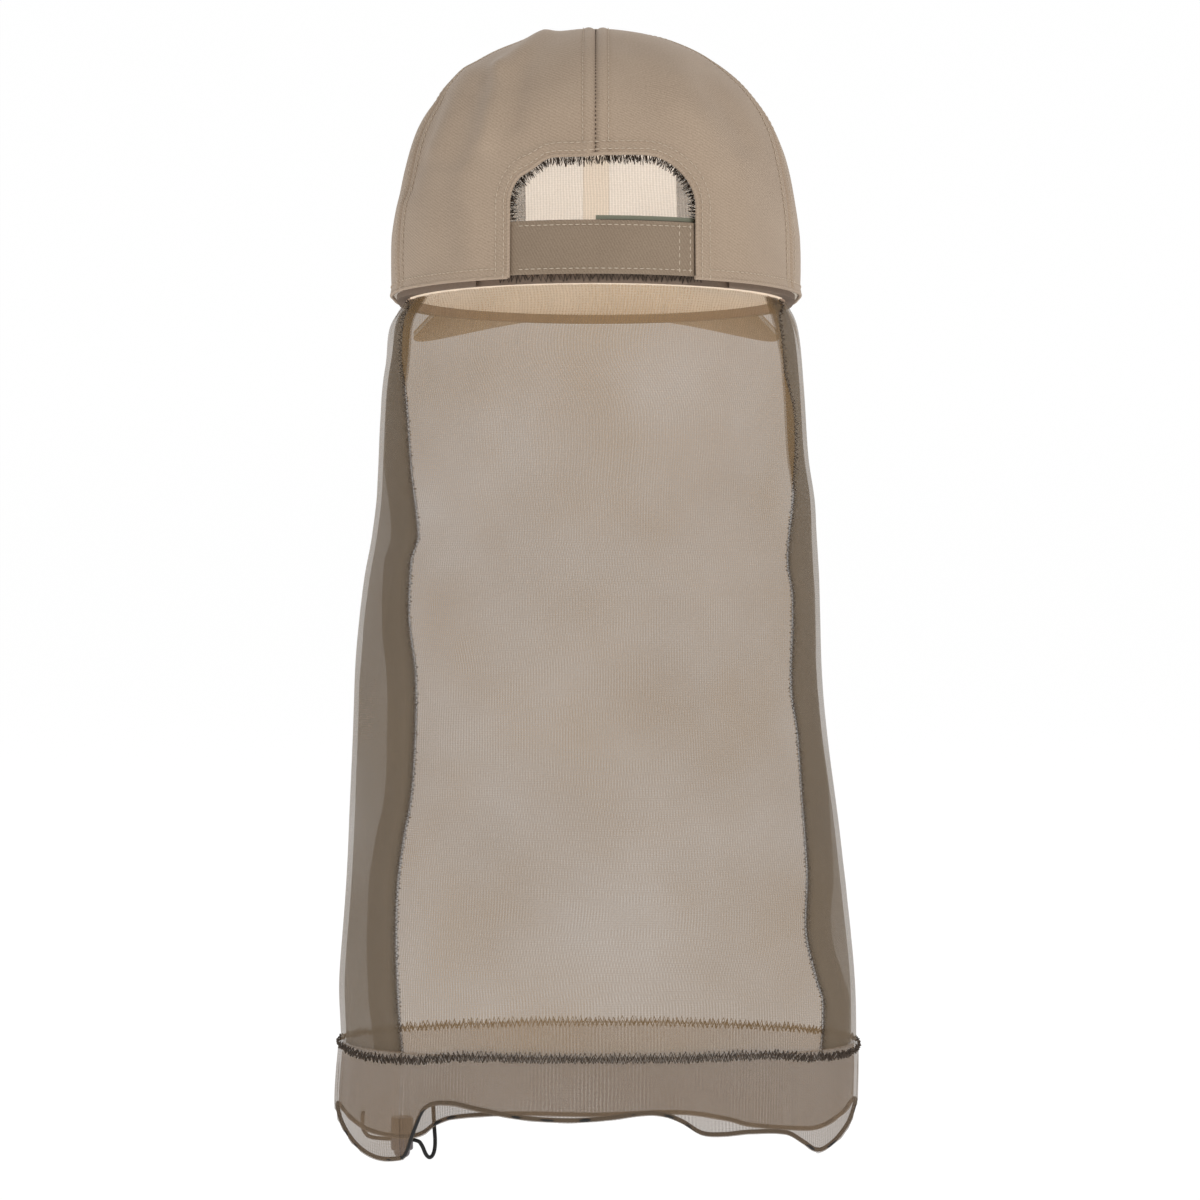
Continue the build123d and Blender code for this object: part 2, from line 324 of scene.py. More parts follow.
@dataclass(frozen=True)
class Net:
    """A fine knitted net. Light comes through its holes, and its wales show as upright lines.

    The real wales are 0.6 mm apart, so they are drawn twice as coarse.
    """

    name: str
    light: str
    dark: str
    cover: float
    wale: float = 1.25 * MM
    course: float = 1.0 * MM
    roughness: float = 0.75

    def material(self) -> bpy.types.Material:
        """Build the node material. Its alpha is the share of the cloth that is yarn."""
        made = bpy.data.materials.new(self.name)
        made.use_nodes = True
        tree = made.node_tree
        shader = tree.nodes["Principled BSDF"]
        place = add(tree, "ShaderNodeUVMap", {"uv_map": "cloth"}).outputs["UV"]
        drift = add(tree, "ShaderNodeTexNoise", None, {"Vector": place, "Scale": 60.0, "Detail": 2.0})
        parts = add(tree, "ShaderNodeSeparateXYZ", None, {0: place})
        waves = []
        for axis, pitch in ((0, self.wale), (1, self.course)):
            phase = add(tree, "ShaderNodeMath", {"operation": "MULTIPLY_ADD"},
                        {0: parts.outputs[axis], 1: 2 * math.pi / pitch, 2: 0.0})
            drifted = add(tree, "ShaderNodeMath", {"operation": "MULTIPLY_ADD"},
                          {0: drift.outputs["Fac"], 1: 7.0, 2: phase.outputs[0]})
            waves.append(add(tree, "ShaderNodeMath", {"operation": "SINE"}, {0: drifted.outputs[0]}))
        cloud = add(tree, "ShaderNodeTexNoise", None, {"Vector": place, "Scale": 14.0, "Detail": 4.0})
        fine = add(tree, "ShaderNodeTexNoise", None, {"Vector": place, "Scale": 1100.0, "Detail": 1.0})
        cover = add(tree, "ShaderNodeMath", {"operation": "MULTIPLY_ADD"},
                    {0: waves[0].outputs[0], 1: 0.055, 2: self.cover - 0.20})
        cover = add(tree, "ShaderNodeMath", {"operation": "MULTIPLY_ADD"},
                    {0: waves[1].outputs[0], 1: 0.02, 2: cover.outputs[0]})
        cover = add(tree, "ShaderNodeMath", {"operation": "MULTIPLY_ADD"},
                    {0: cloud.outputs["Fac"], 1: 0.30, 2: cover.outputs[0]})
        cover = add(tree, "ShaderNodeMath", {"operation": "MULTIPLY_ADD", "use_clamp": True},
                    {0: fine.outputs["Fac"], 1: 0.10, 2: cover.outputs[0]})
        mix = add(tree, "ShaderNodeMix", {"data_type": "RGBA"},
                  {0: cloud.outputs["Fac"], 6: colour(self.dark), 7: colour(self.light)})
        bump = add(tree, "ShaderNodeBump", None,
                   {"Height": waves[0].outputs[0], "Strength": 0.25, "Distance": 0.1 * MM})
        tree.links.new(mix.outputs[2], shader.inputs["Base Color"])
        tree.links.new(cover.outputs[0], shader.inputs["Alpha"])
        tree.links.new(bump.outputs["Normal"], shader.inputs["Normal"])
        shader.inputs["Roughness"].default_value = self.roughness
        return made


@dataclass(frozen=True)
class Grained:
    """A material whose grain is a fine noise: thread, pile, cord, moulded plastic or steel."""

    name: str
    light: str
    dark: str
    roughness: float
    grain: float = 0.4 * MM
    relief: float = 0.3
    metallic: float = 0.0

    def material(self) -> bpy.types.Material:
        """Build the node material on Object coordinates."""
        made = bpy.data.materials.new(self.name)
        made.use_nodes = True
        tree = made.node_tree
        shader = tree.nodes["Principled BSDF"]
        place = add(tree, "ShaderNodeTexCoord").outputs["Object"]
        grain = add(tree, "ShaderNodeTexNoise", None,
                    {"Vector": place, "Scale": 1 / self.grain, "Detail": 3.0})
        mix = add(tree, "ShaderNodeMix", {"data_type": "RGBA"},
                  {0: grain.outputs["Fac"], 6: colour(self.dark), 7: colour(self.light)})
        bump = add(tree, "ShaderNodeBump", None,
                   {"Height": grain.outputs["Fac"], "Strength": self.relief, "Distance": 0.1 * MM})
        tree.links.new(mix.outputs[2], shader.inputs["Base Color"])
        tree.links.new(bump.outputs["Normal"], shader.inputs["Normal"])
        shader.inputs["Roughness"].default_value = self.roughness
        shader.inputs["Metallic"].default_value = self.metallic
        return made


def finishes() -> dict[Name, bpy.types.Material]:
    """Build every finish once."""
    makers = [
        (Name.TWILL, Cloth(Name.TWILL.value, "#c5af98", "#a6907b")),
        (Name.STRAP, Cloth(Name.STRAP.value, "#a38f7a", "#86735f", slant=-28.0)),
        (Name.NET, Net(Name.NET.value, "#9b7b50", "#8a6c45", 0.545)),
        # The pleated front net is the same net as the back panel. Its greyer, slightly darker colour is
        # painted shade for the shaded inner layers of its pleats.
        (Name.FRONT_NET, Net(Name.FRONT_NET.value, "#8d7a62", "#7f6d57", 0.49)),
        (Name.HEM_NET, Net(Name.HEM_NET.value, "#8d765d", "#816b54", 0.45)),
        (Name.OVERLOCK, Grained(Name.OVERLOCK.value, "#5d4f43", "#3c322a", 0.95, 0.7 * MM, 0.8)),
        (Name.THREAD, Grained(Name.THREAD.value, "#e0d0bb", "#c2b09a", 0.8)),
        (Name.RIM_SEAM, Grained(Name.RIM_SEAM.value, "#8f7c69", "#75645a", 0.95, 0.7 * MM, 0.8)),
        (Name.ARCH_NET, Net(Name.ARCH_NET.value, "#6f6256", "#5f5348", 0.36)),
        (Name.DARK_THREAD, Grained(Name.DARK_THREAD.value, "#5a4a3c", "#382d25", 0.85)),
        (Name.CORD, Grained(Name.CORD.value, "#1d1c1c", "#0b0b0b", 0.7, 0.5 * MM, 0.8)),
        (Name.ACETAL, Grained(Name.ACETAL.value, "#6d6469", "#5d5459", 0.38, 1.0 * MM, 0.05)),
        (Name.STEEL, Grained(Name.STEEL.value, "#c4c4c2", "#a8a8a6", 0.3, 0.5 * MM, 0.05, 1.0)),
        (Name.BOARD, Grained(Name.BOARD.value, "#e6e4de", "#d8d6d0", 0.5, 2.0 * MM, 0.05)),
        (Name.BUCKRAM, Grained(Name.BUCKRAM.value, "#f6f2ec", "#e6e0d6", 0.9, 0.8 * MM, 0.6)),
        (Name.LOOP, Grained(Name.LOOP.value, "#4a4335", "#2a261d", 1.0, 0.9 * MM, 1.0)),
        (Name.HOOK, Grained(Name.HOOK.value, "#3d392f", "#25221b", 0.6, 1.1 * MM, 1.0)),
        (Name.BAND, Grained(Name.BAND.value, "#f0e8dc", "#dfd3c2", 0.9, 0.5 * MM, 0.5)),
        (Name.TAPE, Grained(Name.TAPE.value, "#93937f", "#7d7f6e", 0.85, 0.6 * MM, 0.6)),
    ]
    return {key: maker.material() for key, maker in makers}


# ---------------------------------------------------------------- sewing, by Geometry Nodes
@dataclass
class Sewing:
    """Node trees that turn a curve into a row of stitches, an overlocked edge or a fringe."""

    looks: dict[Name, bpy.types.Material]
    trees: dict[str, bpy.types.NodeTree] = field(default_factory=dict)

    def _tree(self, name: str, sizes: dict[str, float]) -> tuple:
        """Start a tree with a geometry and a material input and one input for each size."""
        tree = bpy.data.node_groups.new(name, "GeometryNodeTree")
        tree.interface.new_socket("Geometry", in_out="INPUT", socket_type="NodeSocketGeometry")
        tree.interface.new_socket("Material", in_out="INPUT", socket_type="NodeSocketMaterial")
        for label, value in sizes.items():
            socket = tree.interface.new_socket(label, in_out="INPUT", socket_type="NodeSocketFloat")
            socket.default_value = value
        tree.interface.new_socket("Geometry", in_out="OUTPUT", socket_type="NodeSocketGeometry")
        self.trees[name] = tree
        return tree, tree.nodes.new("NodeGroupInput")

    def _finish(self, tree: bpy.types.NodeTree, start, shape: bpy.types.NodeSocket) -> None:
        """End a tree: realise the instances, set the material and hand the geometry out."""
        real = add(tree, "GeometryNodeRealizeInstances", None, {"Geometry": shape})
        dressed = add(tree, "GeometryNodeSetMaterial", None,
                      {"Geometry": real.outputs[0], "Material": start.outputs["Material"]})
        smooth = add(tree, "GeometryNodeSetShadeSmooth", None, {"Geometry": dressed.outputs[0]})
        add(tree, "NodeGroupOutput", None, {"Geometry": smooth.outputs[0]})

    def stitch_tree(self) -> bpy.types.NodeTree:
        """A row of short rounded stitches laid end to end along the curve, a little uneven."""
        sizes = {"Spacing": 2.6 * MM, "Length": 2.0 * MM, "Radius": 0.24 * MM, "Scatter": 0.05}
        tree, start = self._tree("stitch_row", sizes)
        line = add(tree, "GeometryNodeResampleCurve", {"mode": "LENGTH"},
                   {"Curve": start.outputs["Geometry"], "Length": start.outputs["Spacing"]})
        bead = add(tree, "GeometryNodeMeshUVSphere", None, {"Segments": 6, "Rings": 5, "Radius": 0.5})
        stretch = add(tree, "ShaderNodeCombineXYZ", None, {"Z": start.outputs["Length"]})
        double = add(tree, "ShaderNodeMath", {"operation": "MULTIPLY"}, {0: start.outputs["Radius"], 1: 2.0})
        for axis in ("X", "Y"):
            tree.links.new(double.outputs[0], stretch.inputs[axis])
        stitch = add(tree, "GeometryNodeTransform", None,
                     {"Geometry": bead.outputs["Mesh"], "Scale": stretch.outputs[0]})
        tangent = add(tree, "GeometryNodeInputTangent")
        wander = add(tree, "FunctionNodeRandomValue", {"data_type": "FLOAT_VECTOR"}, {"Seed": 7})
        low = add(tree, "ShaderNodeVectorMath", {"operation": "SCALE"},
                  {0: (-1.0, -1.0, -1.0), "Scale": start.outputs["Scatter"]})
        high = add(tree, "ShaderNodeVectorMath", {"operation": "SCALE"},
                   {0: (1.0, 1.0, 1.0), "Scale": start.outputs["Scatter"]})
        tree.links.new(low.outputs[0], wander.inputs[0])
        tree.links.new(high.outputs[0], wander.inputs[1])
        aim = add(tree, "ShaderNodeVectorMath", {"operation": "ADD"},
                  {0: tangent.outputs[0], 1: wander.outputs[0]})
        turn = add(tree, "FunctionNodeAlignRotationToVector", {"axis": "Z"}, {"Vector": aim.outputs[0]})
        row = add(tree, "GeometryNodeInstanceOnPoints", None,
                  {"Points": line.outputs[0], "Instance": stitch.outputs[0], "Rotation": turn.outputs[0]})
        self._finish(tree, start, row.outputs[0])
        return tree

    def overlock_tree(self) -> bpy.types.NodeTree:
        """A thread that crosses the curve to and fro, as an overlocker lays it over an edge.

        The across direction is the curve's tangent turned against the row direction +Y.
        """
        sizes = {"Spacing": 1.1 * MM, "Width": 4.0 * MM, "Radius": 0.28 * MM, "Scatter": 0.35 * MM}
        tree, start = self._tree("overlocked_edge", sizes)
        line = add(tree, "GeometryNodeResampleCurve", {"mode": "LENGTH"},
                   {"Curve": start.outputs["Geometry"], "Length": start.outputs["Spacing"]})
        tangent = add(tree, "GeometryNodeInputTangent")
        across = add(tree, "ShaderNodeVectorMath", {"operation": "CROSS_PRODUCT"},
                     {0: tangent.outputs[0], 1: (0.0, 1.0, 0.0)})
        index = add(tree, "GeometryNodeInputIndex")
        odd = add(tree, "ShaderNodeMath", {"operation": "MODULO"}, {0: index.outputs[0], 1: 2.0})
        side = add(tree, "ShaderNodeMath", {"operation": "SUBTRACT"}, {0: odd.outputs[0], 1: 0.5})
        reach = add(tree, "ShaderNodeMath", {"operation": "MULTIPLY"},
                    {0: side.outputs[0], 1: start.outputs["Width"]})
        swing = add(tree, "ShaderNodeVectorMath", {"operation": "SCALE"},
                    {0: across.outputs[0], "Scale": reach.outputs[0]})
        wander = add(tree, "FunctionNodeRandomValue", {"data_type": "FLOAT_VECTOR"},
                     {0: (-1.0, -1.0, -1.0), 1: (1.0, 1.0, 1.0), "Seed": 11})
        loose = add(tree, "ShaderNodeVectorMath", {"operation": "SCALE"},
                    {0: wander.outputs[0], "Scale": start.outputs["Scatter"]})
        move = add(tree, "ShaderNodeVectorMath", {"operation": "ADD"},
                   {0: swing.outputs[0], 1: loose.outputs[0]})
        zigzag = add(tree, "GeometryNodeSetPosition", None,
                     {"Geometry": line.outputs[0], "Offset": move.outputs[0]})
        ring = add(tree, "GeometryNodeCurvePrimitiveCircle", None,
                   {"Resolution": 5, "Radius": start.outputs["Radius"]})
        thread = add(tree, "GeometryNodeCurveToMesh", None,
                     {"Curve": zigzag.outputs[0], "Profile Curve": ring.outputs[0], "Fill Caps": True})
        self._finish(tree, start, thread.outputs[0])
        return tree

    def row(self, name: str, tree: str, lines: Iterable, look: Name, body: str | None, slot: str,
            **sizes: float) -> bpy.types.Object:
        """Lay one tree along some lines and bake it into a piece.

        Args:
            name: the piece's name.
            tree: which tree.
            lines: the points of each line.
            look: the thread's finish.
            body: the body that the piece rides on, or None where it is made to move otherwise.
            slot: the record's material slot. It is not used.
            **sizes: values for the tree's named inputs.

        Returns:
            The baked piece.
        """
        if tree not in self.trees:
            getattr(self, {"stitch_row": "stitch_tree", "overlocked_edge": "overlock_tree"}[tree])()
        curve = poly_curve(name, lines)
        holder = curve.modifiers.new("sewing", "NODES")
        holder.node_group = self.trees[tree]
        for item in holder.node_group.interface.items_tree:
            if item.in_out == "INPUT" and item.name in sizes:
                holder[item.identifier] = float(sizes[item.name])
            elif item.in_out == "INPUT" and item.name == "Material":
                holder[item.identifier] = self.looks[look]
        piece = bake(curve)
        if body:
            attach(piece, body)
        return piece


# ---------------------------------------------------------------- the crown's form
@dataclass
class CrownForm:
    """The crown's outer surface: a profile of three tangent arcs round two half rounds."""

    half_width: float = 89 * MM
    half_depth: float = 98 * MM
    height: float = 115 * MM
    side_arc: float = 240 * MM
    shoulder_arc: float = 70 * MM
    side_turn: float = math.radians(14)

    def __post_init__(self) -> None:
        """Work out the arcs' centres and lengths."""
        side_centre = self.half_width - self.side_arc
        reach = self.side_arc - self.shoulder_arc
        shoulder = (side_centre + reach * math.cos(self.side_turn), reach * math.sin(self.side_turn))
        rise = self.height - shoulder[1]
        top = (rise ** 2 + shoulder[0] ** 2 - self.shoulder_arc ** 2) / (2 * (rise - self.shoulder_arc))
        start = math.atan2(shoulder[1] - self.height + top, shoulder[0])
        self.arcs = [((side_centre, 0.0), self.side_arc, 0.0, self.side_turn),
                     (shoulder, self.shoulder_arc, self.side_turn, start),
                     ((0.0, self.height - top), top, start, math.pi / 2)]
        self.lengths = [radius * (end - begin) for _, radius, begin, end in self.arcs]
        self.length = sum(self.lengths)
        self.stretch = self.half_depth - self.half_width

    def profile(self, share: float) -> tuple[float, float, float, float]:
        """Radius, height and outward normal at a share of the way from the rim to the top."""
        left = share * self.length
        for (centre, radius, begin, end), length in zip(self.arcs, self.lengths):
            if left <= length or begin == self.arcs[-1][2]:
                angle = min(begin + left / radius, end)
                c, s = math.cos(angle), math.sin(angle)
                return centre[0] + radius * c, centre[1] + radius * s, c, s
            left -= length
        return 0.0, self.height, 0.0, 1.0

    def plan(self, azimuth: float, radius: float) -> tuple[float, float]:
        """Where the ray at an azimuth crosses the crown's plan for a profile radius."""
        c, s = math.cos(azimuth), math.sin(azimuth)
        if abs(radius * s) <= self.stretch * abs(c):
            reach = radius / abs(c)
        else:
            reach = self.stretch * abs(s) + math.sqrt(max(radius ** 2 - (self.stretch * c) ** 2, 0.0))
        return reach * c, reach * s

    def point(self, azimuth: float, share: float, lift: float = 0.0) -> Vector:
        """A point on the crown.

        Args:
            azimuth: radians about the crown's axis, from +X towards +Y.
            share: the share of the way from the rim to the top.
            lift: how far it stands off the surface.

        Returns:
            The point.
        """
        radius, z, out, up = self.profile(share)
        x, y = self.plan(azimuth, max(radius + lift * out, 0.0))
        return Vector((x, y, z + lift * up))

    def share_at(self, height: float) -> float:
        """The share of the profile at a height above the rim."""
        low, high = 0.0, 1.0
        for _ in range(30):
            middle = (low + high) / 2
            if self.profile(middle)[1] < height:
                low = middle
            else:
                high = middle
        return (low + high) / 2

    def behind(self, x: float, z: float, lift: float = 0.0) -> Vector:
        """The point on the crown's back that has this place across and this height."""
        radius, _, out, up = self.profile(self.share_at(max(z, 0.0)))
        reach = max(radius + lift * out, abs(x))
        return Vector((x, self.stretch + math.sqrt(reach ** 2 - x * x), z + lift * up))


@dataclass(frozen=True)
class Fold:
    """A soft ridge or hollow in the crown's back, between two places given across and up."""

    start: tuple[float, float]
    end: tuple[float, float]
    width: float
    height: float

    def lift(self, x: float, z: float) -> float:
        """How far the cloth stands out at a place, because of this fold."""
        ax, az = self.start
        dx, dz = self.end[0] - ax, self.end[1] - az
        t = ((x - ax) * dx + (z - az) * dz) / (dx * dx + dz * dz)
        t = min(max(t, 0.0), 1.0)
        off = math.hypot(x - ax - t * dx, z - az - t * dz)
        return self.height * math.exp(-(off / self.width) ** 2)


@dataclass
class Arch:
    """The outline of the rear opening, seen from behind."""

    width: float = 78 * MM
    height: float = 51 * MM
    corner: float = 21 * MM
    shift: float = -3 * MM

    def line(self, grow: float, low: float, count: int = 18) -> list[tuple[float, float]]:
        """Points from the left foot over the top to the right foot, grown by a margin."""
        half, top, radius = self.width / 2 + grow, self.height + grow, self.corner + grow
        points = [(half, low + (top - radius - low) * i / 10) for i in range(10)]
        for centre, begin in ((half - radius, 0.0), (radius - half, math.pi / 2)):
            for i in range(count + 1):
                angle = begin + math.pi / 2 * i / count
                points.append((centre + radius * math.cos(angle), top - radius + radius * math.sin(angle)))
            if begin == 0.0:
                points += [(centre * (1 - 2 * i / 8), top) for i in range(1, 8)]
        points += [(-half, top - radius - (top - radius - low) * i / 10) for i in range(1, 11)]
        return [(x + self.shift, z + self._unevenness(x, z)) for x, z in points]

    def _unevenness(self, x: float, z: float) -> float:
        """The cloth sags unevenly along the arch's top, with a pucker near its left corner."""
        if z < self.height - self.corner:
            return 0.0
        pucker = 2.2 * MM * math.exp(-((x - 30 * MM) / (5 * MM)) ** 2)
        return -pucker - 0.5 * MM * math.sin(x / (9 * MM))

    def distance(self, x: float, z: float) -> float:
        """How far a place lies outside the outline; negative inside."""
        x = abs(x - self.shift)
        half = self.width / 2
        cx, cz = half - self.corner, self.height - self.corner
        if x <= cx or z <= cz:
            return max(x - half, z - self.height) if z > cz or x <= cx else x - half
        return math.hypot(x - cx, z - cz) - self.corner


@dataclass
class Crown:
    """The six panels of the crown with their folds, the rear arch and all the top stitching."""

    looks: dict[Name, bpy.types.Material]
    sewing: Sewing
    form: CrownForm = field(default_factory=CrownForm)
    arch: Arch = field(default_factory=Arch)
    cloth: float = 1.0 * MM
    back_seam: float = 90.0
    side_seam: float = 25.0
    front_seam: float = -38.0
    seam_groove: float = 0.9 * MM
    topstitch: float = 5.3 * MM
    roll_radius: float = 0.85 * MM
    hem_stitch: float = 4.2 * MM
    panel_columns: int = 104
    panel_rows: int = 92
    folds: tuple[Fold, ...] = (
        Fold((22 * MM, 110 * MM), (39 * MM, 90 * MM), 4.5 * MM, 2.2 * MM),
        Fold((39 * MM, 90 * MM), (45 * MM, 58 * MM), 4.5 * MM, 2.3 * MM),
        Fold((30 * MM, 94 * MM), (34 * MM, 66 * MM), 4.5 * MM, -1.3 * MM),
        Fold((49 * MM, 86 * MM), (57 * MM, 52 * MM), 5 * MM, -1.4 * MM),
        Fold((54 * MM, 92 * MM), (66 * MM, 58 * MM), 5 * MM, 1.6 * MM),
        Fold((66 * MM, 80 * MM), (79 * MM, 44 * MM), 4.5 * MM, -1.3 * MM),
        Fold((54 * MM, 44 * MM), (51 * MM, 10 * MM), 6 * MM, 1.2 * MM),
        Fold((62 * MM, 40 * MM), (63 * MM, 12 * MM), 6 * MM, -0.8 * MM),
        Fold((-34 * MM, 84 * MM), (-50 * MM, 48 * MM), 7 * MM, 1.6 * MM),
        Fold((-44 * MM, 92 * MM), (-62 * MM, 60 * MM), 6 * MM, -1.1 * MM),
        Fold((-60 * MM, 50 * MM), (-63 * MM, 10 * MM), 6 * MM, 1.1 * MM),
        Fold((-14 * MM, 100 * MM), (-22 * MM, 72 * MM), 6 * MM, -0.8 * MM),
    )

    def seams(self) -> list[float]:
        """Azimuths of the six seams, in degrees."""
        return [self.back_seam, self.side_seam, self.front_seam, -self.back_seam,
                180 - self.front_seam, 180 - self.side_seam]

    def relief(self, azimuth: float, point: Vector, reach: float) -> float:
        """How far the cloth stands off the smooth form: seams, hem, arch, folds and unevenness."""
        lift = 0.0
        for seam in self.seams():
            turn = azimuth - math.radians(seam)
            if math.cos(turn) <= 0:
                continue
            off = abs(reach * math.sin(turn))
            lift -= self.seam_groove * math.exp(-(off / (1.1 * MM)) ** 2)
            lift += 0.45 * MM * math.exp(-((off - 3.2 * MM) / (1.9 * MM)) ** 2)
            lift -= 0.25 * MM * math.exp(-((off - self.topstitch) / (0.8 * MM)) ** 2)
        lift += 0.35 * MM * math.exp(-((point.z - 1.8 * MM) / (2.0 * MM)) ** 2)
        lift -= 0.25 * MM * math.exp(-((point.z - self.hem_stitch) / (0.8 * MM)) ** 2)
        if point.y > 0:
            off = self.arch.distance(point.x, point.z)
            if off > -2 * MM:
                lift += 0.5 * MM * math.exp(-((off - 3.4 * MM) / (1.6 * MM)) ** 2)
                lift -= 0.3 * MM * math.exp(-((off - 5.2 * MM) / (0.8 * MM)) ** 2)
            lift += sum(fold.lift(point.x, point.z) for fold in self.folds)
            clear = min(1.0, max(0.0, (off - 7 * MM) / (14 * MM)))
        else:
            clear = 1.0
        lift += 1.1 * MM * clear * min(1.0, max(0.0, (point.z - 6 * MM) / (20 * MM)))
        lift += 0.9 * MM * noise.noise(point * 22) + 0.35 * MM * noise.noise(point * 60)
        return lift

    def surface(self, azimuth: float, share: float, lift: float = 0.0) -> Vector:
        """A point on the real, uneven cloth."""
        smooth = self.form.point(azimuth, share)
        reach = math.hypot(smooth.x, smooth.y)
        return self.form.point(azimuth, share, self.relief(azimuth, smooth, reach) + lift)

    def behind(self, x: float, z: float, lift: float = 0.0) -> Vector:
        """A point on the real cloth of the crown's back, by its place across and its height."""
        share = self.form.share_at(max(z, 0.0))
        smooth = self.form.behind(x, z)
        azimuth = math.atan2(smooth.y, smooth.x)
        return self.surface(azimuth, share, lift)

    def panel(self, node: str, start: float, end: float) -> bpy.types.Object:
        """One panel: a fine grid between two seams, given its thickness and cut at the arch."""
        columns, rows = self.panel_columns, self.panel_rows
        points, cloth = [], []
        for i in range(columns):
            turn = 0.5 - 0.5 * math.cos(math.pi * i / (columns - 1))
            azimuth = math.radians(start + (end - start) * turn)
            for j in range(rows):
                share = j / (rows - 1)
                smooth = self.surface(azimuth, share) if j < rows - 1 else Vector((0, 0, self.form.height))
                points.append(smooth)
                wide = self.form.profile(share)[0] + 4 * MM
                cloth.append((wide * (azimuth - math.radians((start + end) / 2)), share * self.form.length))
        piece = build(f"cloth_{node}", np.array(points), grid_faces(columns, rows),
                      self.looks[Name.TWILL], np.array(cloth))
        wall = piece.modifiers.new("thickness", "SOLIDIFY")
        wall.thickness = self.cloth
        wall.offset = -1
        wall.use_even_offset = False
        cutter = None
        if node.startswith("back"):
            cutter = self.cutter()
            cut = piece.modifiers.new("arch", "BOOLEAN")
            cut.operation = "DIFFERENCE"
            cut.solver = "EXACT"
            cut.object = cutter
        piece = bake(piece)
        if cutter:
            mesh = cutter.data
            bpy.data.objects.remove(cutter)
            bpy.data.meshes.remove(mesh)
        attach(piece, "cap")
        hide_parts(node)
        return piece

    def cutter(self) -> bpy.types.Object:
        """A prism of the arch's outline, through the back of the crown."""
        outline = self.arch.line(0.0, -12 * MM)
        near, far = 40 * MM, 130 * MM
        count = len(outline)
        points = [(x, near, z) for x, z in outline] + [(x, far, z) for x, z in outline]
        faces = [tuple(range(count - 1, -1, -1)), tuple(range(count, 2 * count))]
        faces += [(i, (i + 1) % count, count + (i + 1) % count, count + i) for i in range(count)]
        piece = build("arch_cutter", np.array(points), faces, self.looks[Name.TWILL])
        face_outward(piece)
        return piece

    def rolled_edges(self) -> None:
        """The turned-over edges of the rim and of the arch: a soft round roll of the cloth."""
        rim = []
        left = math.degrees(math.atan2(92 * MM, self.arch.width / 2 + self.arch.shift + 1 * MM))
        right = math.degrees(math.atan2(92 * MM, -self.arch.width / 2 + self.arch.shift - 1 * MM))
        for i in range(241):
            azimuth = math.radians(right + (360 + left - right) * i / 240)
            rim.append(self.surface(azimuth, 0.004, -0.45 * MM))
        arch = [self.behind(x, z, -0.45 * MM) for x, z in self.arch.line(0.2 * MM, 0.4 * MM, 24)]
        for name, line in (("rim_fold", rim), ("arch_fold", arch)):
            curve = poly_curve(name, [line])
            thicken(curve.data, self.roll_radius, 3, self.looks[Name.TWILL])
            curve.data.use_fill_caps = True
            piece = bake(curve)
            cloth = piece.data.uv_layers.new(name="cloth")
            for loop in piece.data.loops:
                spot = piece.data.vertices[loop.vertex_index].co
                cloth.data[loop.index].uv = (spot.x + spot.y, spot.z)
            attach(piece, "cap")

    def seam_line(self, azimuth: float, off: float, low: float, high: float) -> list[Vector]:
        """A line on the cloth beside a seam, from one height to another."""
        line = []
        begin, end = self.form.share_at(low), self.form.share_at(high)
        for i in range(70):
            share = begin + (end - begin) * i / 69
            reach = math.hypot(*self.form.point(math.radians(azimuth), share)[:2])
            line.append(self.surface(math.radians(azimuth) + math.asin(off / max(reach, abs(off) * 1.01)),
                                     share, 0.34 * MM))
        return line

    def stitching(self) -> None:
        """Two rows beside each seam, one above the rim, and two round the arch."""
        rows = []
        arch_top = self.arch.height + 6.5 * MM
        for seam in self.seams():
            low = arch_top if seam == self.back_seam else 4.5 * MM
            for off in (-self.topstitch, self.topstitch):
                rows.append(self.seam_line(seam, off, low, 113 * MM))
        rim = []
        gap = self.arch.width / 2 + 6 * MM
        for i in range(361):
            azimuth = math.radians(i - 270)
            spot = self.surface(azimuth, self.form.share_at(self.hem_stitch), 0.3 * MM)
            if spot.y > 0 and abs(spot.x - self.arch.shift) < gap:
                if len(rim) > 1:
                    rows.append(rim)
                rim = []
            else:
                rim.append(spot)
        if len(rim) > 1:
            rows.append(rim)
        for margin in (1.8 * MM, 5.2 * MM):
            outline = self.arch.line(margin, 1.2 * MM, 24)
            rows.append([self.behind(x, z, 0.3 * MM) for x, z in outline])
        self.sewing.row("crown_topstitching", "stitch_row", rows, Name.THREAD, "cap", "twill")
        middle = self.seam_line(self.back_seam, 0.0, self.arch.height + 1 * MM, 112 * MM)
        lifted = [spot + Vector((0, 0.25 * MM, 0)) for spot in middle]
        self.sewing.row("back_seam_thread", "stitch_row", [lifted], Name.DARK_THREAD, "cap", "twill",
                        Spacing=2.0 * MM, Length=1.3 * MM, Radius=0.22 * MM)

    def make(self) -> None:
        """Build the crown."""
        ends = {"back_panel_left": (self.side_seam, self.back_seam),
                "side_panel_left": (self.front_seam, self.side_seam),
                "front_panel_left": (-self.back_seam, self.front_seam),
                "front_panel_right": (180 - self.front_seam, 180 + self.back_seam),
                "side_panel_right": (180 - self.side_seam, 180 - self.front_seam),
                "back_panel_right": (self.back_seam, 180 - self.side_seam)}
        for node, (start, end) in ends.items():
            self.panel(node, start, end)
        self.rolled_edges()
        self.stitching()


